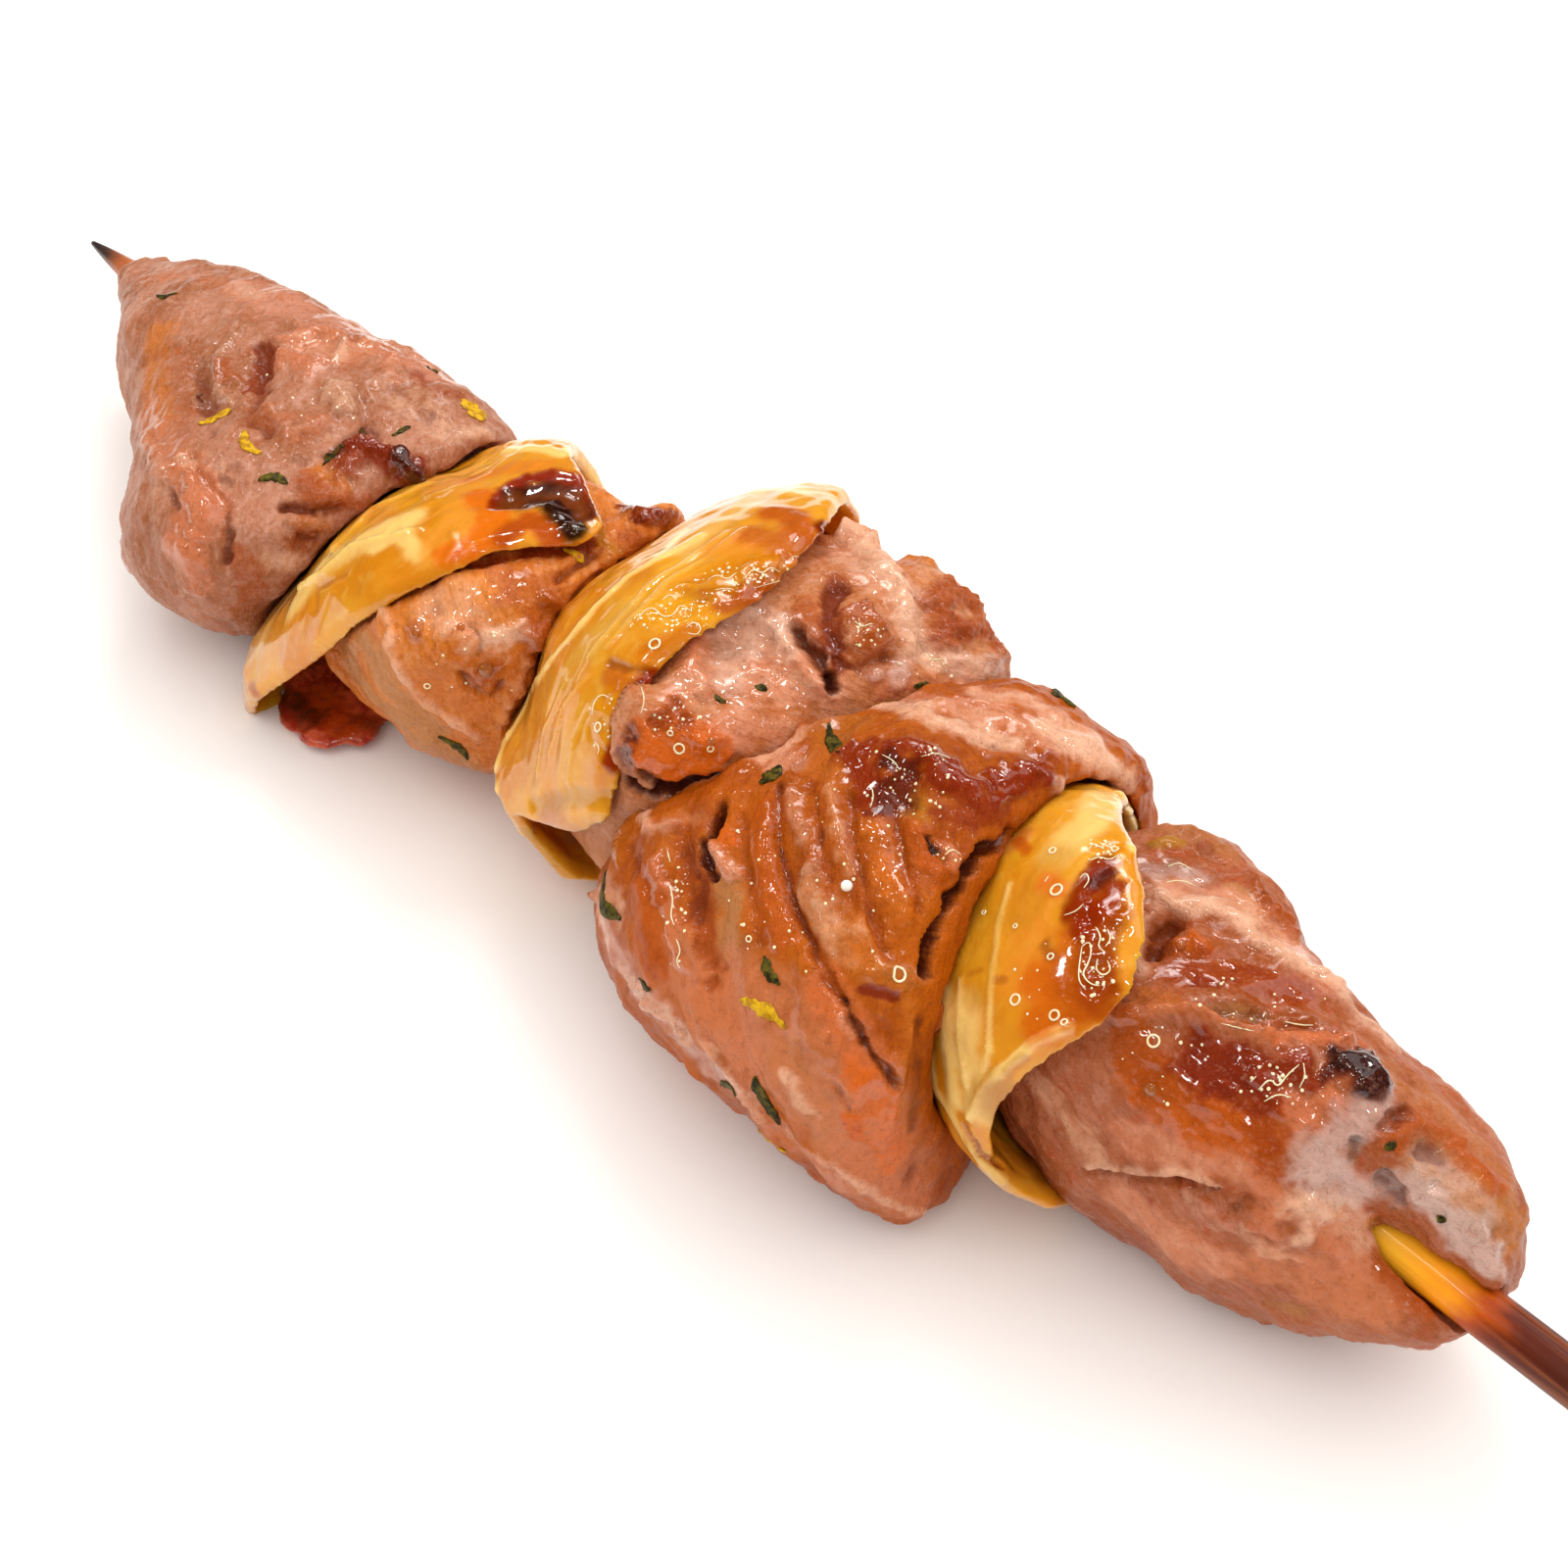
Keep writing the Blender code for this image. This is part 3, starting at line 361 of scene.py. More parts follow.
MARKS["meat_near"] = [
    mark([(1200, 905), (1250, 918), (1300, 955), (1345, 1000)], 3.0, pink=0.7, pale=0.35, wet=0.3),
    mark([(1430, 1100), (1480, 1140), (1530, 1200)], 2.6, taupe=0.6, browned=0.3, pink=0.3),
    # Painted highlight: grey on a wet hollow
    mark([(1176, 884), (1200, 882), (1225, 896)], 2.0, relief=-0.3, grey=0.55, wet=1.0, wrinkle=0.45),
    mark([(1187, 850), (1220, 852), (1250, 868)], 2.4, relief=0.5, taupe=0.6, browned=0.3, rough=0.25),
    mark([(1180, 826), (1205, 832)], 1.2, olive=0.9, relief=0.3),
    mark([(1236, 842), (1243, 835)], 0.7, relief=0.7, rough=0.3),
    mark([(1276, 895), (1286, 914)], 1.0, relief=0.6, rough=0.4, browned=0.7, charred=0.2),
    mark([(1296, 928), (1312, 936), (1318, 950)], 1.3, relief=0.7, rough=0.5, browned=0.8, orange=0.3),
    mark([(1187, 918), (1233, 926), (1275, 950), (1310, 980), (1348, 999)],
         1.7, relief=0.5, pale=0.65, rough=0.15),
    mark([(1348, 999), (1386, 1037), (1420, 1062)], 1.7, relief=0.3, pale=0.55, grey=0.3),
    mark([(1260, 905), (1275, 930)], 1.6, taupe=0.8),
    mark([(1174, 975), (1182, 960), (1195, 945)],
         1.4, relief=-1.3, browned=0.9, olive=0.5, charred=0.3),
    mark([(1198, 968), (1212, 962), (1222, 972)], 1.2, relief=0.7, orange=0.8, browned=0.5, wet=0.5),
    mark([(1160, 945), (1162, 985)], 1.4, pale=0.5, relief=0.3, rough=0.2),
    mark([(1205, 995), (1240, 992), (1280, 1000), (1330, 1015)],
         2.5, red=0.55, browned=0.7, orange=0.4, wet=0.5),
    mark([(1220, 1005), (1240, 1008)], 0.9, wrinkle=0.6, wet=0.9, red=0.5),
    mark([(1170, 1015), (1200, 1022)], 1.6, tan=0.5, browned=0.3),
    mark([(1241, 1030), (1270, 1030), (1296, 1035)], 0.8, relief=-0.8, taupe=0.8, wet=0.6),
    mark([(1250, 1040), (1290, 1048), (1340, 1048)], 0.8, relief=-0.5, browned=0.6, wet=0.6),
    mark([(1310, 1040), (1345, 1045), (1375, 1060)], 0.8, relief=0.4, wet=0.7),
    mark([(1108, 1048), (1130, 1034), (1160, 1031), (1225, 1037), (1290, 1058)],
         1.0, relief=0.9, pink=0.5, tan=0.3),
    mark([(1290, 1058), (1340, 1062), (1390, 1066)], 1.2, relief=0.5, pink=0.5, orange=0.3),
    mark([(1150, 1060), (1165, 1085), (1180, 1110)], 2.4, browned=0.95, orange=0.3, wet=0.8),
    mark([(1222, 1080), (1245, 1085), (1268, 1098)],
         3.2, relief=-0.2, red=0.95, browned=0.7, charred=0.2, wet=0.9),
    mark([(1170, 1100), (1200, 1125), (1240, 1145), (1275, 1150)],
         3.2, browned=0.6, orange=0.9, red=0.15, wet=0.9),
    mark([(1285, 1130), (1295, 1165), (1294, 1188)], 1.7, browned=0.8, red=0.35, orange=0.3, wet=0.5),
    mark([(1270, 1100), (1300, 1100), (1325, 1090)],
         2.0, red=0.75, browned=0.5, wet=1.0, wrinkle=0.55, relief=0.3),
    mark([(1335, 1078), (1330, 1110)], 0.8, relief=0.4, red=0.5, wet=1.0),
    mark([(1310, 1120), (1335, 1140), (1350, 1125)], 2.2, pink=0.9, red=0.25, wet=0.6, relief=0.3),
    mark([(1356, 1092), (1366, 1084)], 1.2, relief=0.3, charred=0.6, red=0.8, wet=1.0),
    mark([(1370, 1084), (1388, 1082), (1402, 1092), (1394, 1102)],
         2.0, relief=0.7, charred=0.9, red=0.9, rough=0.1, wet=1.0),
    mark([(1340, 1118), (1350, 1114)], 0.9, tan=0.7, relief=-0.2),
    # The next two are partly painted sheen: grey near the stick
    mark([(1400, 1125), (1380, 1150), (1355, 1170), (1345, 1195)], 2.6, grey=0.65, pink=0.4, wet=0.5),
    mark([(1335, 1185), (1355, 1205), (1380, 1215)], 2.6, grey=0.7, pink=0.5, wrinkle=0.15, wet=0.8),
    mark([(1385, 1165), (1380, 1178)], 0.8, relief=-0.5, charred=0.4, taupe=0.5),
    mark([(1412, 1150), (1425, 1140), (1435, 1136)], 0.9, relief=-0.6, charred=0.4, red=0.4),
    mark([(1420, 1160), (1445, 1148), (1465, 1150)], 1.7, browned=0.7, orange=0.4, relief=0.3),
    mark([(1490, 1170), (1512, 1195), (1520, 1205)],
         1.4, browned=0.7, orange=0.6, relief=0.3, rough=0.2),
    mark([(1455, 1165), (1470, 1185), (1480, 1200)], 1.8, taupe=0.9, grey=0.3, relief=-0.4),
    mark([(1500, 1210), (1530, 1235), (1550, 1260)], 3.0, taupe=0.6, tan=0.4, rough=0.2),
    mark([(1440, 1215), (1460, 1230), (1495, 1262), (1520, 1285)],
         2.1, grey=0.85, pink=0.4, rough=0.35, wet=0.8, wrinkle=0.2),
    mark([(1450, 1190), (1485, 1215), (1520, 1245)], 2.2, taupe=0.9, grey=0.4, rough=0.3, wrinkle=0.2),
    mark([(1415, 1205), (1428, 1216), (1425, 1228)], 1.2, relief=-0.7, grey=0.8, taupe=0.3),
    # Partly painted sheen: pink and pale around the stick
    mark([(1350, 1225), (1378, 1240), (1392, 1262)], 2.0, pink=1.0, pale=0.5, wet=0.7, relief=0.3),
    mark([(1345, 1250), (1370, 1268), (1395, 1285)], 2.2, pink=0.9, pale=0.2, wet=0.4),
    mark([(1320, 1225), (1335, 1240), (1330, 1260)], 1.6, pale=0.7, relief=0.3),
    mark([(1110, 1196), (1157, 1201), (1200, 1204)], 0.6, relief=-0.5, browned=0.3),
    mark([(1112, 1190), (1158, 1194), (1205, 1196), (1245, 1210)], 0.7, relief=0.35, pale=0.5),
    mark([(1200, 1204), (1225, 1214), (1250, 1212)], 0.6, relief=-0.5, browned=0.4),
    mark([(1215, 1222), (1245, 1240), (1275, 1262), (1310, 1285)], 1.6, pale=0.35, relief=0.3),
    mark([(1150, 1225), (1190, 1260), (1240, 1290)], 3.2, pink=0.8, pale=0.3),
    mark([(1060, 1110), (1095, 1150), (1120, 1185)], 2.2, pale=0.4, olive=0.3, pink=0.4),
    mark([(1150, 1160), (1200, 1180), (1260, 1190)], 2.6, pink=0.7, pale=0.25),
    mark([(1300, 1290), (1350, 1310), (1400, 1330)], 3.4, taupe=0.5, pink=0.7),
    mark([(1410, 1290), (1430, 1305), (1450, 1330)], 2.0, browned=0.7, orange=0.4),
    mark([(1300, 1330), (1330, 1340)], 1.0, relief=-0.4, taupe=0.6),
    mark([(1290, 1200), (1300, 1230), (1290, 1250)], 2.0, pink=0.7, relief=0.5),
    mark([(1258, 1235), (1272, 1222), (1290, 1228)], 0.8, relief=-0.5),
]
MARKS["onion_far"] = [
    mark([(517, 459), (556, 457), (584, 468), (602, 490), (610, 518)], 1.2, cream=1.0, relief=0.2),
    mark([(235, 705), (250, 655), (285, 600), (330, 548), (385, 505), (440, 475)],
         1.0, browned=0.35, cream=0.5),
    # The next two are partly painted highlights: cream on the wet petal
    mark([(300, 620), (330, 575), (380, 548), (420, 530)], 2.4, cream=0.9, relief=0.2, wet=0.7),
    mark([(384, 558), (410, 545), (428, 566)], 1.6, cream=0.9, wet=0.9, wrinkle=0.25),
    mark([(262, 660), (275, 630), (292, 605)], 2.2, cream=0.5, amber=0.3),
    mark([(340, 560), (380, 520), (440, 492)], 0.7, relief=0.3, cream=0.3),
    mark([(310, 600), (360, 560), (430, 540)], 0.7, relief=0.3, cream=0.3),
    mark([(320, 620), (322, 600), (350, 585)], 0.8, relief=-0.3, amber=0.6, browned=0.3),
    mark([(445, 560), (470, 535), (480, 500)], 3.0, amber=1.0),
    mark([(455, 565), (480, 560), (500, 540)], 2.2, orange=0.9, amber=0.6, wet=0.7),
    mark([(490, 505), (505, 520), (500, 545)], 2.6, orange=1.0, wet=0.6),
    mark([(480, 490), (520, 478), (555, 474)], 2.2, orange=0.5, amber=0.5),
    mark([(508, 514), (516, 498), (535, 488), (562, 484), (590, 490), (596, 520)],
         1.6, red=1.0, browned=0.9, relief=-0.3),
    mark([(528, 508), (552, 500), (578, 504), (588, 520)],
         3.2, red=1.0, charred=0.85, relief=-0.5, rough=0.1, wet=0.2),
    mark([(518, 498), (526, 512)], 1.2, charred=1.0, relief=-0.4),
    mark([(560, 512), (572, 528), (586, 543)], 1.7, charred=1.0, relief=0.5, rough=0.5, wet=0.6),
    mark([(515, 545), (540, 530), (565, 545)], 2.2, orange=1.0, red=0.6, wet=0.5),
    mark([(230, 700), (232, 712), (242, 722)], 1.2, pink=0.7, browned=0.5),
    mark([(455, 575), (465, 560), (463, 545)], 0.6, relief=0.3, wet=0.8),
    mark([(470, 580), (480, 560)], 0.6, relief=0.3, wet=0.8),
]
MARKS["onion_middle"] = [
    mark([(716, 547), (678, 568), (638, 590), (606, 620), (571, 662), (540, 706), (517, 748)],
         0.8, cream=0.9, relief=0.2),
    mark([(517, 748), (507, 788), (509, 823), (526, 853)], 0.9, cream=1.0, relief=0.2),
    mark([(545, 822), (580, 815), (618, 814)], 1.5, relief=-0.4, browned=0.15, olive=0.5),
    mark([(560, 840), (590, 850), (612, 862)], 2.2, olive=0.5, pink=0.5, browned=0.3),
    mark([(540, 850), (560, 875), (600, 886)], 1.8, olive=0.8),
    mark([(536, 760), (542, 730), (560, 700)], 2.4, olive=0.4, amber=0.5),
    mark([(560, 790), (565, 740), (590, 690)], 2.6, amber=0.8),
    mark([(580, 690), (600, 655), (640, 625)], 3.0, cream=0.3, olive=0.45),
    mark([(622, 676), (645, 682), (664, 688)], 0.8, relief=-0.3, browned=0.55, charred=0.1),
    mark([(620, 690), (640, 700), (655, 700)], 1.6, orange=0.5, browned=0.4),
    mark([(664, 690), (648, 712), (634, 735), (632, 760), (624, 780)],
         1.3, red=0.8, browned=0.9, wet=1.0, relief=0.2),
    mark([(655, 700), (640, 722), (634, 748)], 0.7, charred=0.6, red=0.5),
    mark([(603, 740), (610, 722), (628, 706)], 1.4, wet=1.0, wrinkle=0.6),
    mark([(611, 748), (616, 764)], 0.9, wet=1.0, wrinkle=0.4),
    mark([(657, 628), (680, 622), (712, 628)], 2.2, wet=1.0, wrinkle=0.55, amber=0.3),
    mark([(690, 632), (702, 648)], 1.0, wet=1.0, wrinkle=0.5),
    mark([(660, 665), (690, 660), (700, 650)], 2.2, orange=0.5, browned=0.4, wet=0.7),
    mark([(706, 600), (740, 585), (775, 580), (805, 578)],
         2.2, wet=1.0, wrinkle=0.8, browned=0.35, amber=0.3),
    mark([(720, 608), (760, 600), (800, 590)], 1.6, wet=1.0, wrinkle=0.7, browned=0.6),
    mark([(790, 522), (808, 528), (822, 545)], 2.6, browned=0.6, orange=0.8, wet=0.4),
    mark([(770, 545), (800, 555), (815, 565)], 2.6, browned=0.5, orange=0.5),
    mark([(837, 540), (839, 562), (828, 580), (812, 592)],
         1.2, red=0.7, browned=0.9, charred=0.4, rough=0.35, wet=0.8),
    mark([(760, 500), (790, 492), (816, 500)], 2.2, cream=0.6),
    mark([(700, 560), (740, 530), (770, 505)], 2.0, cream=0.5, amber=0.3),
    mark([(730, 560), (760, 555)], 2.4, amber=0.9, orange=0.2),
    mark([(698, 543), (672, 566)], 0.8, cream=1.0),
    mark([(735, 620), (760, 612), (790, 600)], 1.2, browned=0.7, orange=0.5, relief=0.2),
    mark([(560, 770), (575, 720), (600, 690)], 0.5, relief=0.2, cream=0.3),
    mark([(548, 790), (552, 750), (575, 700)], 0.5, relief=0.2, cream=0.3),
    mark([(580, 800), (584, 760), (600, 720)], 0.5, relief=0.2, cream=0.3),
    mark([(600, 670), (660, 600), (740, 545)], 0.5, relief=0.2, cream=0.4),
    mark([(620, 660), (680, 595), (760, 540)], 0.5, relief=0.15, cream=0.3),
]
MARKS["onion_near"] = [
    mark([(948, 985), (947, 1044), (955, 1110), (985, 1165), (1020, 1205)], 1.0, cream=0.8, relief=0.2),
    mark([(962, 1010), (966, 1070), (972, 1120)], 1.5, cream=1.0, relief=0.2),
    mark([(1044, 853), (1010, 880), (985, 920), (968, 950)],
         1.4, tan=0.8, browned=0.4, relief=0.2, wrinkle=0.2),
    mark([(968, 950), (958, 975)], 0.9, cream=0.7, relief=0.4),
    mark([(1030, 903), (1018, 945), (1012, 990), (1009, 1070)], 0.5, relief=0.12, cream=0.7),
    mark([(1009, 1070), (1000, 1100), (983, 1132)], 0.6, relief=0.12, cream=0.6),
    mark([(1005, 930), (1000, 970), (998, 1010)], 2.6, olive=0.6, amber=0.4),
    mark([(1075, 875), (1060, 900), (1045, 930)], 2.8, olive=0.55, amber=0.3),
    mark([(985, 1030), (985, 1080), (1000, 1130)], 2.6, cream=0.9),
    mark([(1129, 812), (1110, 840), (1080, 870)], 2.6, cream=0.8, amber=0.2),
    mark([(1144, 812), (1155, 840), (1154, 868)], 0.8, cream=1.0, relief=0.3),
    mark([(1060, 900), (1050, 950), (1045, 1000)], 3.0, amber=0.9, orange=0.25),
    mark([(1060, 1000), (1080, 1020), (1060, 1045)], 2.6, orange=0.8, browned=0.3, wet=0.6),
    mark([(1095, 960), (1090, 1000), (1100, 1030)], 2.4, orange=0.7, browned=0.5, wet=0.7),
    mark([(1126, 882), (1110, 905), (1095, 930)], 1.7, red=0.8, browned=0.9, charred=0.2, wet=1.0),
    mark([(1132, 890), (1118, 902)], 1.0, charred=0.5, red=0.7, wet=1.0),
    mark([(1140, 905), (1125, 925), (1100, 950)], 1.2, browned=0.9, red=0.6, wet=1.0),
    mark([(1130, 930), (1118, 970), (1122, 1005)], 2.4, browned=0.9, red=0.5, wet=1.0, wrinkle=0.6),
    mark([(1108, 950), (1105, 985), (1115, 1008)], 1.0, wrinkle=0.5, wet=1.0),
    mark([(1115, 866), (1130, 862), (1145, 870)], 1.4, wet=1.0, wrinkle=0.7),
    mark([(1115, 1020), (1130, 1030)], 1.8, browned=0.8, orange=0.4, wet=0.8),
    mark([(991, 993), (1000, 990)], 0.6, browned=0.5),
    mark([(1018, 1000), (1024, 1000)], 0.6, browned=0.5),
    mark([(1066, 965), (1073, 975)], 0.9, browned=0.7),
    mark([(1040, 860), (1048, 868)], 0.8, orange=0.8, red=0.3),
    mark([(1091, 1047), (1056, 1062), (1030, 1086), (1004, 1108), (988, 1140)],
         0.7, cream=1.0, relief=0.4),
    mark([(1020, 1120), (1030, 1150), (1060, 1180)], 3.0, olive=1.0, browned=0.4),
    mark([(1030, 1092), (1045, 1080)], 0.8, browned=0.5),
    mark([(983, 1150), (1000, 1178), (1022, 1190)], 0.5, relief=-0.4, browned=0.8),
    mark([(990, 1170), (1020, 1200), (1060, 1212), (1100, 1205)], 1.6, olive=0.6),
    mark([(1045, 1170), (1055, 1180)], 0.9, browned=0.7),
    mark([(1070, 900), (1080, 910)], 1.4, orange=0.7),
    mark([(980, 1000), (978, 1060), (985, 1110)], 0.5, relief=0.15, cream=0.5),
]
MARKS["charred_scrap"] = [
    mark([(280, 705), (295, 720), (315, 730)], 3.0, red=0.6, charred=0.6),
    mark([(325, 712), (340, 730), (352, 742)], 3.0, orange=0.7, red=0.7),
    mark([(365, 735), (385, 745)], 2.2, browned=0.8, charred=0.3),
]

LAYERS = (
    "tan", "taupe", "olive", "pink", "pale", "grey", "orange", "cream", "amber",
    "browned", "red", "charred", "wet",
)


def smoothstep(low, high, value):
    share = np.clip((value - low) / (high - low), 0.0, 1.0)
    return share * share * (3 - 2 * share)


def in_mm(place):
    """A place in the frame as millimetres from the middle of the stick."""
    return (Vector(place) - STICK_MIDDLE) / MM


def in_frame(place):
    return Vector(place) * MM + STICK_MIDDLE


def pixel_direction(pixel):
    across = pixel[0] - PHOTO_SIZE / 2
    down = pixel[1] - PHOTO_SIZE / 2
    ray = CAMERA_FORWARD * CAMERA_FOCAL_PIXELS + CAMERA_RIGHT * across + CAMERA_DOWN * down
    return ray.normalized()


def linear(red, green, blue):
    """An sRGB colour, 0 to 255, as a linear one for a shader."""
    shares = (value / 255 for value in (red, green, blue))
    return tuple(v / 12.92 if v <= 0.04045 else ((v + 0.055) / 1.055) ** 2.4 for v in shares) + (1.0,)


def link(thing):
    bpy.context.scene.collection.objects.link(thing)
    return thing


def mesh_object(name, vertices, faces, smooth=True):
    mesh = bpy.data.meshes.new(name)
    mesh.from_pydata(vertices, [], faces)
    mesh.polygons.foreach_set("use_smooth", [smooth] * len(mesh.polygons))
    mesh.update()
    return link(bpy.data.objects.new(name, mesh))


def wrap(faces, base, rings, sides, other_way=False, closed=False):
    """Adds the faces between rings of vertices that start at base, turning the other way if asked."""
    for ring in range(rings if closed else rings - 1):
        low, high = base + ring * sides, base + (ring + 1) % rings * sides
        for side in range(sides):
            after = (side + 1) % sides
            face = (low + side, high + side, high + after, low + after)
            faces.append((face[0], face[3], face[2], face[1]) if other_way else face)


# Surfaces: a fine copy of a node, and what is measured on it


class Surface:
    """A node's shape, remeshed and smoothed, as arrays in stick millimetres."""

    def __init__(self, node, name, voxel, smoothing, raggedness=1.0):
        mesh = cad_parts[node].data.copy()
        shape = bmesh.new()
        shape.from_mesh(mesh)
        bmesh.ops.remove_doubles(shape, verts=shape.verts, dist=WELD_DISTANCE)
        shape.to_mesh(mesh)
        shape.free()
        self.thing = link(bpy.data.objects.new(name, mesh))
        remesh = self.thing.modifiers.new("remesh", "REMESH")
        remesh.mode = "VOXEL"
        remesh.voxel_size = voxel
        smooth = self.thing.modifiers.new("smooth", "SMOOTH")
        smooth.factor = 0.5
        smooth.iterations = smoothing
        evaluated = self.thing.evaluated_get(bpy.context.evaluated_depsgraph_get())
        fine = bpy.data.meshes.new_from_object(evaluated)
        fine.name = name
        self.thing.modifiers.clear()
        self.thing.data = fine
        self.count = len(fine.vertices)
        flat = np.empty(self.count * 3)
        fine.vertices.foreach_get("co", flat)
        self.points = (flat.reshape(-1, 3) - np.array(STICK_MIDDLE)) / MM
        fine.vertices.foreach_get("normal", flat)
        self.normals = flat.reshape(-1, 3).copy()
        self.tree = BVHTree.FromPolygons(
            [Vector(point) for point in self.points], [tuple(p.vertices) for p in fine.polygons]
        )
        self.eye = in_mm(CAMERA_PLACE)
        towards = np.array(self.eye) - self.points
        towards /= np.linalg.norm(towards, axis=1)[:, None]
        facing = np.einsum("ij,ij->i", self.normals, towards)
        self.shown = smoothstep(*SHOWN_COSINES, facing)
        self.layers = {layer: np.zeros(self.count) for layer in LAYERS}
        self.relief = np.zeros(self.count)
        self.rough = np.zeros(self.count)
        self.wrinkle = np.zeros(self.count)
        self.edge = raggedness * self.waves(EDGE_WAVES, EDGE_SEED)

    def noise(self, size, seed, run=None, stretch=1.0):
        """Smooth noise of about -1 to 1 with grains of that size, longer along run by stretch."""
        places = self.points / size
        if run is not None:
            run = np.array(Vector(run).normalized())
            places = places - np.outer(places @ run, run) * (1 - 1 / stretch)
        places = places + seed * NOISE_SHIFT
        return np.array([noise.noise(place) for place in places.tolist()]) * NOISE_GAIN

    def waves(self, parts, seed):
        """The sum of noises, each part given by its height and its grains' size in millimetres."""
        return sum(height * self.noise(size, seed + more) for more, (height, size) in enumerate(parts))

    def creases(self, seed):
        """Narrow ridges of about -1 to 1 that wander over the surface."""
        return 1 - 2 * np.abs(self.noise(CREASE_SIZE, seed))

    def under_pixel(self, pixel):
        """Where the camera's ray through a pixel of the photograph meets this surface."""
        ray = pixel_direction(pixel)
        hit = self.tree.ray_cast(self.eye, ray)[0]
        if hit is None:
            middle = Vector(self.points.mean(axis=0))
            hit = self.tree.find_nearest(self.eye + ray * (middle - self.eye).dot(ray))[0]
        return hit

    def seat_under(self, pixel):
        """The same place, and the way out of the surface there."""
        spot = self.under_pixel(pixel)
        return spot, self.tree.find_nearest(spot)[1]

    def path_under(self, pixels):
        """The path on this surface under a path of pixels, in short steps."""
        path = []
        for start, end in zip(pixels, pixels[1:]):
            start, end = Vector(start), Vector(end)
            steps = max(1, round((end - start).length / MARK_STEP_PIXELS))
            path += [self.under_pixel(start.lerp(end, step / steps)) for step in range(steps)]
        path.append(self.under_pixel(pixels[-1]))
        return path

    def distance(self, path):
        """Each point's distance from the path, in millimetres."""
        nearest = np.full(self.count, np.inf)
        for start, end in zip(path, path[1:]):
            start, run = np.array(start), np.array(end - start)
            share = np.clip((self.points - start) @ run / max(run @ run, 1e-9), 0.0, 1.0)
            away = self.points - start - share[:, None] * run
            nearest = np.minimum(nearest, np.sqrt(np.einsum("ij,ij->i", away, away)))
        return nearest

    def lay(self, stroke, path, shares):
        """Lays one mark along a path in stick millimetres, where shares lets it."""
        away = self.distance(path) + self.edge * min(EDGE_SHARE * stroke.width, EDGE_MOST_MM)
        near, far = (share * stroke.width for share in COLOR_FADE)
        painted = (1 - smoothstep(near, far, away)) * shares
        raised = (1 - smoothstep(0.0, RELIEF_FADE * stroke.width, away)) * shares
        self.relief += stroke.relief * raised
        self.rough = np.maximum(self.rough, stroke.rough * painted)
        self.wrinkle = np.maximum(self.wrinkle, stroke.wrinkle * painted)
        for layer, amount in stroke.layers.items():
            self.layers[layer] = 1 - (1 - self.layers[layer]) * (1 - amount * painted)

    def lay_photo_marks(self, strokes):
        """The marks of the photograph, on what faces the camera."""
        for stroke in strokes:
            self.lay(stroke, self.path_under(stroke.path), self.shown)

    def lay_hidden_marks(self, kinds, count, seed):
        """Marks of the given kinds, wandering over what the photograph doesn't show."""
        draw = random.Random(seed)
        hidden = np.flatnonzero(self.shown < 0.5).tolist()
        for _ in range(count):
            kind = draw.choice(kinds)
            start = draw.choice(hidden)
            place = Vector(self.points[start])
            normal = Vector(self.normals[start])
            heading = Vector((draw.uniform(-1, 1), draw.uniform(-1, 1), draw.uniform(-1, 1)))
            path = [place]
            for _ in range(round(draw.uniform(*kind.path) / HIDDEN_STEP)):
                heading = (heading - normal * heading.dot(normal)).normalized()
                swerve = Vector((draw.uniform(-1, 1), draw.uniform(-1, 1), draw.uniform(-1, 1)))
                heading = (heading + swerve * SWERVE).normalized()
                place, normal, _, _ = self.tree.find_nearest(place + heading * HIDDEN_STEP)
                path.append(place)
            if len(path) > 1:
                self.lay(kind, path, 1 - self.shown)

    def finish(self, outward):
        """Moves the surface outward by that many millimetres and writes the layers as attributes, and the
        depth of each hollow as the attribute low, which darkens it with painted shade.
        """
        moved = self.points + self.normals * outward[:, None]
        mesh = self.thing.data
        places = moved * MM + np.array(STICK_MIDDLE)
        places[:, 2] = np.maximum(places[:, 2], FLOOR_CLEARANCE)
        mesh.vertices.foreach_set("co", places.ravel())
        # How deep each point lies in a hollow, which the materials turn into painted shade
        low = smoothstep(*HOLLOW_SHADE_DEPTHS, -outward)
        for layer, values in {**self.layers, "low": low}.items():
            attribute = mesh.attributes.new(layer, "FLOAT", "POINT")
            attribute.data.foreach_set("value", values.astype(np.float32))
        mesh.polygons.foreach_set("use_smooth", [True] * len(mesh.polygons))
        mesh.update()

    def settle(self):
        """Makes rays and nearest points meet the surface where it is now, for what lies on it."""
        mesh = self.thing.data
        self.tree = BVHTree.FromPolygons(
            [in_mm(v.co) for v in mesh.vertices], [tuple(p.vertices) for p in mesh.polygons]
        )


# The kinds of marks on the hidden sides. Here a path is its shortest and longest length in millimetres
HIDDEN_MEAT = [
    mark((6, 14), 3.4, relief=0.4, browned=0.6, orange=0.4, wet=0.7),
    mark((5, 12), 2.2, relief=0.3, browned=0.8, red=0.4, wet=0.6),
    mark((6, 16), 1.0, relief=-0.9, browned=0.6, charred=0.2),
    mark((5, 12), 0.9, relief=-0.7, pink=0.4),
    mark((6, 15), 2.2, relief=0.5, pale=0.3, pink=0.5),
    mark((6, 15), 2.8, pink=0.7),
    mark((6, 15), 2.8, taupe=0.8),
    mark((4, 10), 2.2, tan=0.7, wet=0.5),
    mark((3, 8), 1.6, relief=0.5, rough=0.6, browned=0.7),
    mark((3, 7), 1.6, relief=0.3, red=0.7, charred=0.5, wet=0.7),
    # Painted sheen: grey on wet spots
    mark((4, 9), 1.8, grey=0.5, wet=0.8, wrinkle=0.3),
    mark((8, 18), 1.4, relief=0.7, tan=0.4),
]
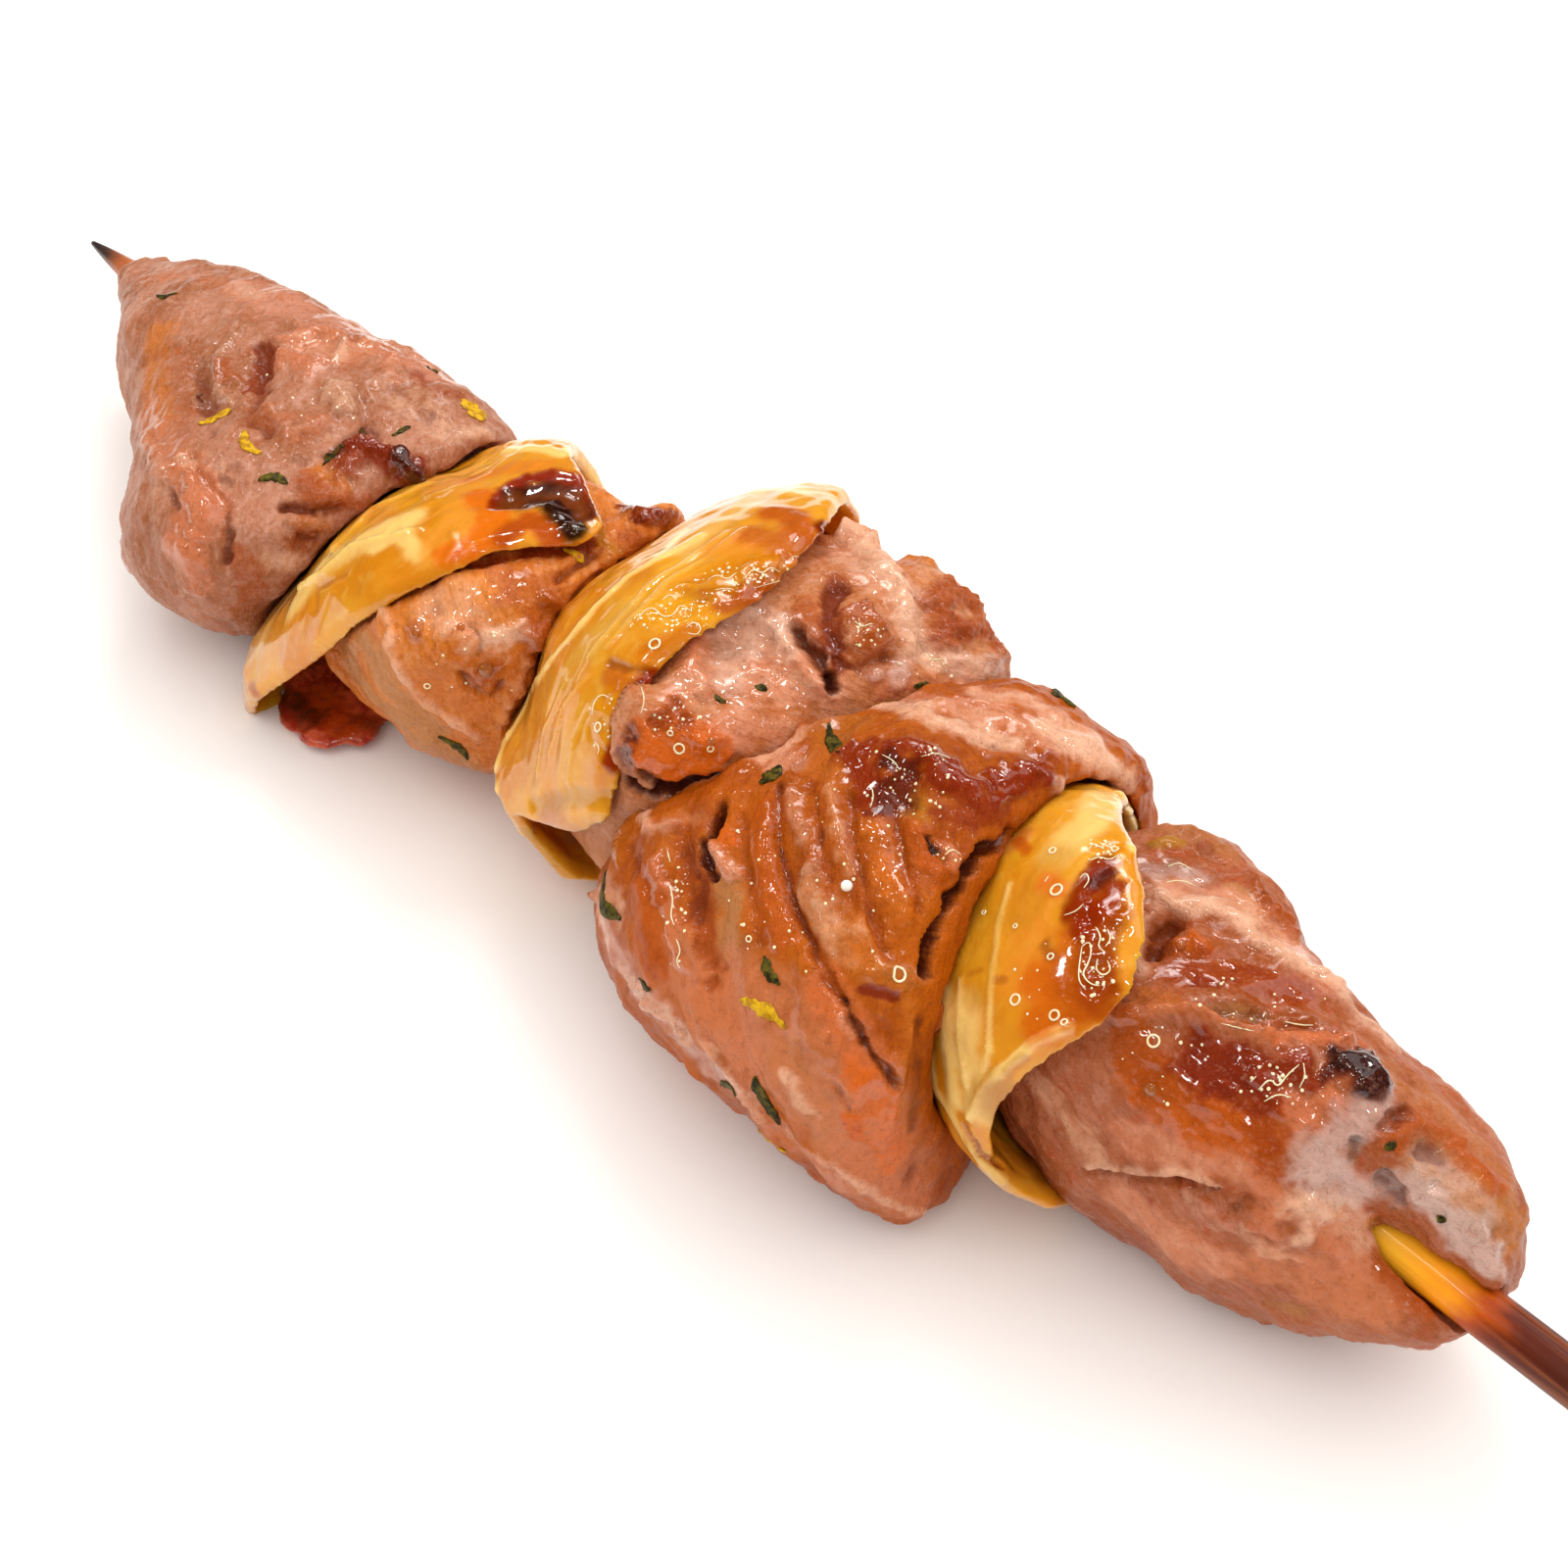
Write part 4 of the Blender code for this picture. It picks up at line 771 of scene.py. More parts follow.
HIDDEN_ONION = [
    mark((8, 20), 1.4, relief=0.15, cream=0.8),
    mark((6, 14), 2.4, amber=0.8),
    mark((5, 12), 2.0, orange=0.7, wet=0.5),
    mark((4, 9), 1.8, browned=0.6, wet=0.7, wrinkle=0.3),
    mark((3, 7), 1.2, red=0.6, charred=0.5, wet=0.7),
    mark((6, 14), 2.2, olive=0.6),
    mark((8, 20), 0.5, relief=-0.2, browned=0.3),
]


# Relief all over a piece, as waves: (height, size of the grains), both in millimetres
MEAT_LUMPS = ((0.28, 4.5), (0.16, 2.1))
MEAT_PITS = ((0.05, 0.55),)
SCRAP_FOLDS = ((0.22, 2.4), (0.08, 0.9))
# What a mark's rough and wrinkle raise: crumbs as waves, and creases, each times its height
MEAT_CRUMBS = ((1.0, 1.1), (0.6, 0.6))
ONION_CRUMBS = ((1.0, 1.0),)
CRUMB_HEIGHT = 0.55
ONION_CRUMB_HEIGHT = 0.4
CREASE_SIZE = 1.5
CREASE_HEIGHT = 0.34
ONION_CREASE_HEIGHT = 0.32


# Meat: lumps, fibres and marks over each chunk. A grain is a direction in stick axes


@dataclass
class Cut:
    """One chunk: its node, its grain, how high its fibres stand in millimetres, its seed, its colours."""
    node: str
    grain: tuple
    fibre: float
    seed: int
    flesh: tuple
    deep_flesh: tuple
    glaze: tuple
    blush: tuple


CUTS = (
    Cut("meat_far", (0.5, -0.6, -0.6), 0.06, 11,
        (184, 122, 92), (160, 94, 56), (164, 80, 32), (212, 160, 140)),
    Cut("meat_second", (0.8, -0.5, -0.3), 0.05, 12,
        (216, 124, 42), (200, 104, 20), (206, 96, 2), (226, 158, 108)),
    Cut("meat_third", (0.6, 0.6, -0.5), 0.07, 13,
        (198, 126, 80), (178, 96, 42), (182, 82, 10), (218, 162, 134)),
    Cut("meat_fourth", (0.45, -0.65, -0.6), 0.10, 14,
        (182, 86, 0), (160, 68, 0), (186, 90, 0), (182, 94, 6)),
    Cut("meat_near", (0.75, 0.3, -0.6), 0.08, 15,
        (172, 94, 54), (152, 72, 24), (172, 54, 0), (198, 134, 110)),
)


def build_chunk(cut, material):
    chunk = Surface(cut.node, cut.node + "_look", MEAT_VOXEL, MEAT_SMOOTHING)
    chunk.lay_photo_marks(MARKS[cut.node])
    chunk.lay_hidden_marks(HIDDEN_MEAT, HIDDEN_MEAT_MARKS, cut.seed)
    lumps = chunk.waves(MEAT_LUMPS, cut.seed)
    grain = chunk.noise(0.8, cut.seed + 2, cut.grain, 4.5)
    grain += 0.9 * chunk.noise(1.8, cut.seed + 3, cut.grain, 3.5)
    pits = chunk.waves(MEAT_PITS, cut.seed + 4)
    crumbs = chunk.waves(MEAT_CRUMBS, cut.seed + 5)
    creases = chunk.creases(cut.seed + 7)
    outward = chunk.relief + lumps + cut.fibre * grain + pits
    outward += CRUMB_HEIGHT * chunk.rough * crumbs + CREASE_HEIGHT * chunk.wrinkle * creases
    chunk.finish(outward)
    dress(chunk.thing, material, "grilled_meat", cut.node)
    return chunk


def dress(thing, material, slot, *nodes):
    thing.data.materials.clear()
    thing.data.materials.append(material)
    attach(thing, "root")
    if nodes:
        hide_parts(*nodes)


# Onion: long faint veins from rim to rim, and marks


PETAL_SEEDS = {"onion_far": 41, "onion_middle": 42, "onion_near": 43}
PETAL_MOST_RELIEF = 0.9
VEIN_RUN = (0.15, -0.7, -0.7)
VEIN_STRETCH = 9
SCRAP_SEED = 31
SCRAP_RELIEF = (-0.35, 0.5)


def build_petal(node, seed, material):
    petal = Surface(node, node + "_look", ONION_VOXEL, ONION_SMOOTHING, ONION_RAGGEDNESS)
    petal.lay_photo_marks(MARKS[node])
    petal.lay_hidden_marks(HIDDEN_ONION, HIDDEN_ONION_MARKS, seed)
    veins = petal.noise(1.3, seed, VEIN_RUN, VEIN_STRETCH)
    swells = 0.12 * petal.noise(5.0, seed + 1) + 0.06 * veins
    creases = petal.creases(seed + 2)
    crumbs = petal.waves(ONION_CRUMBS, seed + 3)
    outward = petal.relief + swells + ONION_CRUMB_HEIGHT * petal.rough * crumbs
    outward += ONION_CREASE_HEIGHT * petal.wrinkle * creases
    outward = np.clip(outward, -PETAL_MOST_RELIEF, PETAL_MOST_RELIEF)
    petal.finish(outward)
    dress(petal.thing, material, "grilled_onion", node)
    return petal


def build_scrap(material):
    scrap = Surface("charred_scrap", "charred_scrap_look", SCRAP_VOXEL, ONION_SMOOTHING)
    scrap.lay_photo_marks(MARKS["charred_scrap"])
    scrap.lay_hidden_marks(HIDDEN_ONION, HIDDEN_SCRAP_MARKS, SCRAP_SEED)
    folds = scrap.waves(SCRAP_FOLDS, SCRAP_SEED)
    scrap.finish(np.clip(scrap.relief + folds, *SCRAP_RELIEF))
    dress(scrap.thing, material, "charred_onion", "charred_scrap")


# The stick


# In millimetres
POINT_LENGTH = 17.0
POINT_RADIUS = 0.25
END_ROUNDING = 0.35
END_RINGS = (0.25, 0.12, 0.03)
POINT_RING = 0.4
GROOVE_LENGTH = 14

# The exponent of the whittled point's outline: below 1 is fuller
POINT_FULLNESS = 0.9
# The stick's fine grooves: how many grains of noise its radius spans, and each kind's (depth as a share of
# the radius, fineness). All of it is thinner than the CAD's stick by one more share of the radius
GROOVE_GRAINS = 2.2
GROOVES = ((0.05, 1.4), (0.03, 3.1))
STICK_SHRINK = 0.004
STICK_RINGS = 200
STICK_SIDES = 48


def stick_radius(x):
    """The stick's radius in millimetres at x: a whittled point, then straight, with a rounded end."""
    full = STICK_RADIUS / MM
    half = STICK_HALF_LENGTH / MM
    if x < -half + POINT_LENGTH:
        share = (x + half) / POINT_LENGTH
        return POINT_RADIUS + (full - POINT_RADIUS) * math.sin(share * math.pi / 2) ** POINT_FULLNESS
    if x > half - END_ROUNDING:
        share = (x - half + END_ROUNDING) / END_ROUNDING
        return full - END_ROUNDING * (1 - math.sqrt(max(0.0, 1 - share * share)))
    return full


def build_stick(material):
    half = STICK_HALF_LENGTH / MM
    rings = [-half + 2 * half * ring / STICK_RINGS for ring in range(STICK_RINGS + 1)]
    rings += [half - short for short in END_RINGS] + [-half + POINT_RING]
    rings.sort()
    vertices, faces = [], []
    for x in rings:
        for side in range(STICK_SIDES):
            angle = 2 * math.pi * side / STICK_SIDES
            back, up = math.cos(angle), math.sin(angle)
            spot = Vector((x / GROOVE_LENGTH, GROOVE_GRAINS * back, GROOVE_GRAINS * up))
            groove = sum(depth * noise.noise(spot * fineness) for depth, fineness in GROOVES)
            radius = stick_radius(x) * (1 + min(0.0, groove) - STICK_SHRINK)
            radius = min(radius, STICK_RADIUS / MM)
            vertices.append(in_frame((x, radius * back, radius * up)))
    wrap(faces, 0, len(rings), STICK_SIDES)
    faces.append(tuple(range(STICK_SIDES)))
    faces.append(tuple(reversed(range(len(vertices) - STICK_SIDES, len(vertices)))))
    dress(mesh_object("stick_look", vertices, faces), material, "bamboo", "stick")


# Materials


class Paint:
    """A material's node tree, built with short calls. Sizes of grains are in millimetres."""

    def __init__(self, name):
        self.material = bpy.data.materials.new(name)
        self.material.use_nodes = True
        self.tree = self.material.node_tree
        self.tree.nodes.clear()
        output = self.add("OutputMaterial")
        self.shader = self.add("BsdfPrincipled")
        self.tree.links.new(self.shader.outputs[0], output.inputs[0])
        place = self.add("TexCoord").outputs["Object"]
        in_millimetres = self.add("VectorMath", operation="SCALE")
        self.feed(in_millimetres.inputs[0], place)
        self.feed(in_millimetres.inputs["Scale"], 1 / MM)
        self.place = in_millimetres.outputs[0]

    def add(self, kind, **settings):
        node = self.tree.nodes.new("ShaderNode" + kind)
        for name, value in settings.items():
            setattr(node, name, value)
        return node

    def feed(self, socket, value):
        if isinstance(value, bpy.types.NodeSocket):
            self.tree.links.new(value, socket)
        else:
            socket.default_value = value

    def math(self, operation, first, second=0.0, clamp=False):
        node = self.add("Math", operation=operation, use_clamp=clamp)
        self.feed(node.inputs[0], first)
        self.feed(node.inputs[1], second)
        return node.outputs[0]

    def noise(self, size, detail=3.0, roughness=0.55, distortion=0.0, stretch=None):
        """Noise of about 0 to 1 with grains of that size, longer along the first of three lengths."""
        node = self.add("TexNoise")
        place = self.place
        if stretch is not None:
            mapping = self.add("Mapping", vector_type="TEXTURE")
            self.feed(mapping.inputs["Vector"], place)
            turn, lengths = stretch
            mapping.inputs["Rotation"].default_value = turn
            mapping.inputs["Scale"].default_value = lengths
            place = mapping.outputs[0]
        self.feed(node.inputs["Vector"], place)
        node.inputs["Scale"].default_value = 1 / size
        node.inputs["Detail"].default_value = detail
        node.inputs["Roughness"].default_value = roughness
        node.inputs["Distortion"].default_value = distortion
        return node.outputs["Fac"]

    def attribute(self, name):
        return self.add("Attribute", attribute_name=name).outputs["Fac"]

    def ramp(self, value, low, high, start=0.0, end=1.0, smooth=True):
        node = self.add("MapRange", interpolation_type="SMOOTHSTEP" if smooth else "LINEAR")
        for name, setting in (("Value", value), ("From Min", low), ("From Max", high),
                              ("To Min", start), ("To Max", end)):
            self.feed(node.inputs[name], setting)
        return node.outputs["Result"]

    def mix(self, amount, first, second, blend="MIX"):
        node = self.add("Mix", data_type="RGBA", blend_type=blend, clamp_factor=True)
        self.feed(node.inputs["Factor"], amount)
        self.feed(node.inputs[6], first)
        self.feed(node.inputs[7], second)
        return node.outputs[2]

    def laid_on(self, color, layers, breakup, raggedness=1.1):
        """The colour with each layer over it, its edge broken up by noise."""
        for name, paint, most in layers:
            amount = self.attribute(name)
            ragged = self.math("MULTIPLY", self.math("SUBTRACT", breakup, 0.5), raggedness)
            ragged = self.math("MULTIPLY", ragged, self.math("MULTIPLY", amount, 4.0, clamp=True))
            mask = self.ramp(self.math("ADD", amount, ragged), 0.02, 0.95, 0.0, most)
            color = self.mix(mask, color, linear(*paint))
        return color

    def bump(self, heights):
        """Bumps the surface by each (height, millimetres) in turn."""
        normal = None
        for height, depth in heights:
            node = self.add("Bump")
            node.inputs["Strength"].default_value = 1.0
            node.inputs["Distance"].default_value = depth * MM
            self.feed(node.inputs["Height"], height)
            if normal is not None:
                self.feed(node.inputs["Normal"], normal)
            normal = node.outputs[0]
        self.feed(self.shader.inputs["Normal"], normal)

    def set(self, **values):
        names = {"color": "Base Color", "roughness": "Roughness", "subsurface": "Subsurface Weight",
                 "scatter": "Subsurface Radius", "scatter_scale": "Subsurface Scale",
                 "coat": "Coat Weight", "coat_roughness": "Coat Roughness", "ior": "IOR",
                 "specular": "Specular IOR Level", "transmission": "Transmission Weight",
                 "coat_ior": "Coat IOR"}
        for name, value in values.items():
            self.feed(self.shader.inputs[names[name]], value)


# Colours that aren't a layer's or a cut's, as sRGB from 0 to 255
FIBRE_SHADE = (140, 56, 6)
PORE_SHADE = (120, 50, 8)
# Painted shade for the meat's hollows
MEAT_HOLLOW_SHADE = (104, 34, 10)
ONION_PALE = (222, 150, 28)
ONION_DEEP = (208, 126, 8)
ONION_VEIN = (234, 186, 78)
# Painted shade for the onion's hollows
ONION_HOLLOW_SHADE = (160, 74, 14)
SCRAP_DARK = (150, 34, 22)
SCRAP_PALE = (204, 88, 50)
WOOD_SHADE = (222, 196, 176)
WOOD_STREAK = (176, 96, 40)
OIL_PALE = (232, 168, 96)
OIL_DEEP = (214, 130, 62)
# Near-white foam, whose rims, threads and drops are painted highlights on the glaze
FOAM_GLINT_PALE = (255, 240, 208)
FOAM_GLINT_DEEP = (250, 218, 164)
SALT_DEEP = (246, 232, 214)
SALT_PALE = (255, 248, 238)
TABLE_DEEP = (250, 247, 243)
TABLE_PALE = (253, 250, 247)
DARK_HERB = ((34, 30, 6), (96, 84, 14))
YELLOW_HERB = ((168, 118, 12), (222, 172, 20))

# What lies over the base colour: (layer, its colour, how much of it shows at most), the lowest first
# Pink, grey and pale are the meat's own tones, and some marks also lay them on wet spots as painted
# highlights, sheen and reflections
MEAT_LAYERS = (
    ("taupe", (180, 118, 66), 0.85),
    ("tan", (200, 110, 30), 0.85),
    ("olive", (172, 112, 10), 0.85),
    ("pink", (206, 116, 74), 0.8),
    ("grey", (206, 176, 164), 0.75),
    ("pale", (236, 184, 150), 0.8),
    ("orange", (216, 96, 4), 0.95),
    # Browned is also laid along one chunk's edge as a painted shadow of a petal
    ("browned", (164, 70, 4), 0.88),
    ("red", (132, 32, 0), 0.92),
    # Charred is also laid into deep slits as painted shade
    ("charred", (40, 12, 8), 0.97),
)


def meat_material(cut):
    paint = Paint("grilled_meat_" + cut.node)
    turn = Vector((1, 0, 0)).rotation_difference(Vector(cut.grain)).to_euler()
    fibres = paint.noise(0.7, detail=4, roughness=0.65, distortion=0.6, stretch=(turn, (4.5, 1, 1)))
    breakup = paint.noise(1.6, detail=4, roughness=0.6, distortion=0.4)
    patches = paint.noise(8, detail=2, roughness=0.5, distortion=0.6)
    color = paint.mix(paint.ramp(patches, 0.35, 0.65), linear(*cut.flesh), linear(*cut.deep_flesh))
    # Lighter on the raised fibres and darker in the grooves between them, in step with the fibre bump: the
    # meat's grain, with painted light on the ridges and painted shade in the grooves
    color = paint.mix(paint.ramp(fibres, 0.45, 0.75, end=0.45), color, linear(*cut.blush))
    color = paint.mix(paint.ramp(fibres, 0.5, 0.25, end=0.35), color, linear(*FIBRE_SHADE))
    mottle = paint.noise(2.4, detail=4, roughness=0.65, distortion=0.8)
    color = paint.mix(paint.ramp(mottle, 0.52, 0.72, end=0.55), color, linear(*cut.glaze))
    color = paint.mix(paint.ramp(mottle, 0.46, 0.3, end=0.45), color, linear(*cut.blush))
    fine = paint.noise(0.42, detail=4, roughness=0.7, distortion=0.3)
    color = paint.laid_on(color, MEAT_LAYERS, breakup, 0.9)
    # Lighter on the fine bumps and darker in their pits, in step with the fine bump: painted light and
    # shade over the meat's fine grain
    color = paint.mix(paint.ramp(fine, 0.52, 0.7, end=0.3), color, linear(*cut.blush))
    color = paint.mix(paint.ramp(fine, 0.48, 0.32, end=0.3), color, linear(*PORE_SHADE))
    # Painted shade: the deeper a hollow, the darker it is painted
    low = paint.attribute("low")
    color = paint.mix(paint.ramp(low, 0.1, 0.9, end=0.6), color, linear(*MEAT_HOLLOW_SHADE))
    wet = paint.attribute("wet")
    gloss = paint.math("ADD", wet, paint.math("MULTIPLY", patches, 0.6))
    rough = paint.ramp(gloss, 0.2, 1.0, start=0.46, end=0.2)
    film = paint.ramp(gloss, 0.2, 0.9, start=0.14, end=1.0)
    paint.set(color=color, roughness=rough, subsurface=0.1, scatter=(1.0, 0.4, 0.2),
              scatter_scale=0.0009, coat=film, coat_roughness=0.08, coat_ior=1.5, specular=0.12)
    pores = paint.noise(0.95, detail=4, roughness=0.6, distortion=0.3)
    paint.bump([(fibres, 0.28), (pores, 0.22), (fine, 0.11)])
    return paint.material


VEIN_TURN = (0.8, 0.0, 1.4)
ONION_LAYERS = (
    # Cream is the petals' pale rims, and also painted highlights where marks lay it on wet spots
    ("cream", (244, 206, 122), 0.78),
    ("amber", (224, 142, 36), 0.75),
    ("olive", (188, 132, 16), 0.75),
    ("tan", (200, 118, 44), 0.8),
    ("pink", (214, 140, 104), 0.7),
    ("orange", (214, 100, 12), 0.85),
    ("browned", (150, 60, 8), 0.85),
    ("red", (136, 26, 2), 0.9),
    ("charred", (30, 8, 6), 0.97),
)


def onion_material():
    paint = Paint("grilled_onion")
    veins = paint.noise(1.1, detail=2, roughness=0.5, distortion=0.2, stretch=(VEIN_TURN, (9, 1, 1)))
    breakup = paint.noise(1.5, detail=4, roughness=0.6, distortion=0.4)
    patches = paint.noise(7, detail=2, roughness=0.5, distortion=0.5)
    color = paint.mix(paint.ramp(patches, 0.35, 0.65), linear(*ONION_PALE), linear(*ONION_DEEP))
    color = paint.mix(paint.ramp(veins, 0.5, 0.75, end=0.28), color, linear(*ONION_VEIN))
    color = paint.laid_on(color, ONION_LAYERS, breakup, ONION_RAGGEDNESS)
    # Painted shade: the deeper a hollow, the darker it is painted
    low = paint.attribute("low")
    color = paint.mix(paint.ramp(low, 0.1, 0.9, end=0.45), color, linear(*ONION_HOLLOW_SHADE))
    rough = paint.ramp(paint.attribute("wet"), 0.1, 0.8, start=0.34, end=0.12)
    fine = paint.noise(0.4, detail=3, roughness=0.6)
    paint.set(color=color, roughness=rough, subsurface=0.45, scatter=(1.0, 0.6, 0.25),
              scatter_scale=0.003, coat=1.0, coat_roughness=0.05, coat_ior=1.5, specular=0.15)
    swell = paint.noise(1.6, detail=3, roughness=0.5, distortion=0.4)
    paint.bump([(veins, 0.1), (swell, 0.16), (fine, 0.03)])
    return paint.material


def scrap_material():
    paint = Paint("charred_onion")
    breakup = paint.noise(1.3, detail=4, roughness=0.6, distortion=0.5)
    color = paint.mix(paint.ramp(breakup, 0.35, 0.65), linear(*SCRAP_DARK), linear(*SCRAP_PALE))
    color = paint.laid_on(color, ONION_LAYERS, breakup)
    paint.set(color=color, roughness=paint.ramp(breakup, 0.3, 0.7, start=0.2, end=0.4), subsurface=0.2,
              scatter=(1.0, 0.3, 0.15), scatter_scale=0.001, coat=0.5, coat_roughness=0.1)
    paint.bump([(paint.noise(0.5, detail=3, roughness=0.6), 0.1)])
    return paint.material


ALONG_STICK = (0, 0, 0)
# How the grill browned the stick: (millimetres from its middle, colour)
BURN_STOPS = (
    (-125.0, (50, 44, 46)),
    (-121.5, (70, 50, 44)),
    (-119.0, (176, 96, 56)),
    (-108.0, (216, 128, 66)),
    (34.0, (255, 186, 52)),
    (44.0, (255, 184, 40)),
    (47.0, (255, 160, 24)),
    (49.5, (190, 78, 12)),
    (52.0, (96, 34, 14)),
    (57.0, (84, 32, 18)),
    (66.0, (150, 86, 42)),
    (80.0, (198, 146, 84)),
    (125.0, (214, 172, 112)),
)


def stick_material():
    paint = Paint("bamboo")
    split = paint.add("SeparateXYZ")
    paint.feed(split.inputs[0], paint.place)
    grain = paint.noise(0.35, detail=3, roughness=0.6, distortion=0.2, stretch=(ALONG_STICK, (60, 1, 1)))
    blotches = paint.noise(3.0, detail=3, roughness=0.6, distortion=0.4,
                           stretch=(ALONG_STICK, (2.5, 1, 1)))
    along = paint.math("ADD", split.outputs[0], paint.math("MULTIPLY", blotches, 6.0))
    along = paint.math("SUBTRACT", along, 3.0)
    colors = paint.add("ValToRGB")
    half = STICK_HALF_LENGTH / MM
    middle = STICK_MIDDLE.x / MM
    paint.feed(colors.inputs[0], paint.ramp(along, middle - half, middle + half, smooth=False))
    stops = colors.color_ramp.elements
    while len(stops) < len(BURN_STOPS):
        stops.new(0.5)
    for stop, (x, color) in zip(stops, BURN_STOPS):
        stop.position = (x + half) / (2 * half)
        stop.color = linear(*color)
    lines = paint.ramp(grain, 0.4, 0.65, end=0.25)
    color = paint.mix(lines, colors.outputs[0], linear(*WOOD_SHADE), "MULTIPLY")
    streaks = paint.noise(0.8, detail=2, roughness=0.5, distortion=0.1, stretch=(ALONG_STICK, (30, 1, 1)))
    color = paint.mix(paint.ramp(streaks, 0.55, 0.72, end=0.3), color, linear(*WOOD_STREAK), "SCREEN")
    paint.set(color=color, roughness=paint.ramp(blotches, 0.3, 0.7, start=0.3, end=0.5), coat=0.25,
              coat_roughness=0.08, specular=0.15, subsurface=0.05, scatter_scale=0.0008)
    paint.bump([(grain, 0.06)])
    return paint.material


def herb_material(name, dark, light):
    paint = Paint(name)
    blades = paint.noise(0.5, detail=3, roughness=0.6, distortion=0.3)
    color = paint.mix(paint.ramp(blades, 0.35, 0.65), linear(*dark), linear(*light))
    paint.set(color=color, roughness=0.6, coat=0.1, coat_roughness=0.15, specular=0.1)
    paint.bump([(blades, 0.06)])
    return paint.material


def oil_material():
    paint = Paint("cooking_oil")
    tint = paint.mix(paint.noise(2.0), linear(*OIL_PALE), linear(*OIL_DEEP))
    paint.set(color=tint, roughness=0.04, ior=1.45, transmission=0.75, coat=0.6, coat_roughness=0.03)
    paint.bump([(paint.noise(0.8, detail=1), 0.01)])
    return paint.material


# Near-white foam: its rims, threads and drops are painted highlights
def foam_glint_material():
    paint = Paint("glaze_foam_glints")
    tint = paint.mix(paint.noise(0.6), linear(*FOAM_GLINT_PALE), linear(*FOAM_GLINT_DEEP))
    paint.set(color=tint, roughness=0.12, subsurface=0.3, scatter_scale=0.0004,
              coat=0.6, coat_roughness=0.05)
    paint.bump([(paint.noise(0.3), 0.02)])
    return paint.material


def crystal_material():
    paint = Paint("salt_crystal")
    tint = paint.mix(paint.noise(0.4), linear(*SALT_DEEP), linear(*SALT_PALE))
    paint.set(color=tint, roughness=0.25, ior=1.5, subsurface=0.3, scatter_scale=0.0006)
    paint.bump([(paint.noise(0.3), 0.03)])
    return paint.material


# Herbs: thin leaves on the surface. Each is the two pixels its tips are at and its width in millimetres


@dataclass
class Herb:
    node: str
    tips: tuple
    width: float
    kind: str


HERBS = (
    Herb("meat_far", ((160, 302), (181, 300)), 0.9, "dark"),
    Herb("meat_far", ((330, 475), (351, 454)), 0.9, "dark"),
    Herb("meat_far", ((350, 457), (371, 437)), 0.4, "dark"),
    Herb("meat_far", ((264, 490), (294, 494)), 1.0, "dark"),
    Herb("meat_far", ((400, 445), (419, 436)), 0.8, "dark"),
    Herb("meat_far", ((436, 374), (446, 381)), 0.7, "dark"),
    Herb("meat_far", ((203, 433), (236, 417)), 1.5, "yellow"),
    Herb("meat_far", ((249, 440), (266, 463)), 1.3, "yellow"),
    Herb("meat_far", ((472, 408), (492, 430)), 2.2, "yellow"),
    Herb("meat_second", ((447, 751), (478, 775)), 1.0, "dark"),
    Herb("meat_second", ((575, 560), (594, 574)), 0.9, "yellow"),
    Herb("meat_third", ((932, 700), (952, 701)), 0.8, "dark"),
    Herb("meat_third", ((729, 709), (741, 717)), 0.6, "dark"),
    Herb("meat_third", ((770, 700), (783, 705)), 0.6, "dark"),
    Herb("meat_fourth", ((776, 800), (797, 782)), 1.9, "dark"),
    Herb("meat_fourth", ((846, 738), (855, 768)), 1.0, "dark"),
    Herb("meat_fourth", ((612, 886), (634, 938)), 1.35, "dark"),
    Herb("meat_fourth", ((771, 1098), (796, 1147)), 1.2, "dark"),
    Herb("meat_fourth", ((736, 1106), (751, 1117)), 0.9, "dark"),
    Herb("meat_fourth", ((653, 998), (664, 1009)), 0.9, "dark"),
    Herb("meat_fourth", ((780, 976), (796, 1005)), 1.0, "dark"),
    Herb("meat_fourth", ((1076, 704), (1096, 722)), 1.6, "dark"),
    Herb("meat_fourth", ((756, 1020), (802, 1049)), 1.0, "yellow"),
    Herb("meat_fourth", ((764, 1146), (803, 1174)), 0.8, "yellow"),
    Herb("meat_near", ((1412, 1172), (1424, 1166)), 0.7, "dark"),
    Herb("meat_near", ((1466, 1240), (1476, 1246)), 0.6, "dark"),
)
HERB_SEED = 21
HIDDEN_HERB_SEED = 7
HIDDEN_HERBS_EACH = 2
HIDDEN_HERB_WIDTH = 1.3
HIDDEN_HERB_LENGTH = (2.4, 3.6)
HIDDEN_HERB_CLOCK = (240, 300)
# Where on its chunk's stretch a hidden fleck lies, and how far out its ray starts, in millimetres
HIDDEN_HERB_SHARE = (0.4, 0.7)
FAR_OUT = 60
# For each chunk, the stretch of the stick, in millimetres, that its hidden flecks lie along
HIDDEN_HERB_SPANS = (
    ("meat_far", -118, -60),
    ("meat_second", -57, -34),
    ("meat_third", -34, -7),
    ("meat_fourth", -18, 11),
    ("meat_near", 7.5, 50.5),
)
HERB_RINGS = 12
HERB_SIDES = 10
# A leaf's bend as a share of its length, its edge's unevenness, how full its outline is, and how much of
# half a sine wave that outline leaves out at each tip
LEAF_BEND = 0.18
LEAF_UNEVENNESS = (0.62, 1.15)
LEAF_FULLNESS = 0.7
LEAF_TIP = 0.04
# In millimetres: its middle over the surface, half its thickness, the crease along it, its tips' rise
LEAF_LIFT = 0.05
LEAF_THICKNESS = 0.13
LEAF_CREASE = 0.06
LEAF_CURL = 0.1
# The crease's width as a share of the leaf's, and how far towards a tip its rise begins
LEAF_CREASE_WIDTH = 0.3
LEAF_CURL_FROM = 0.6


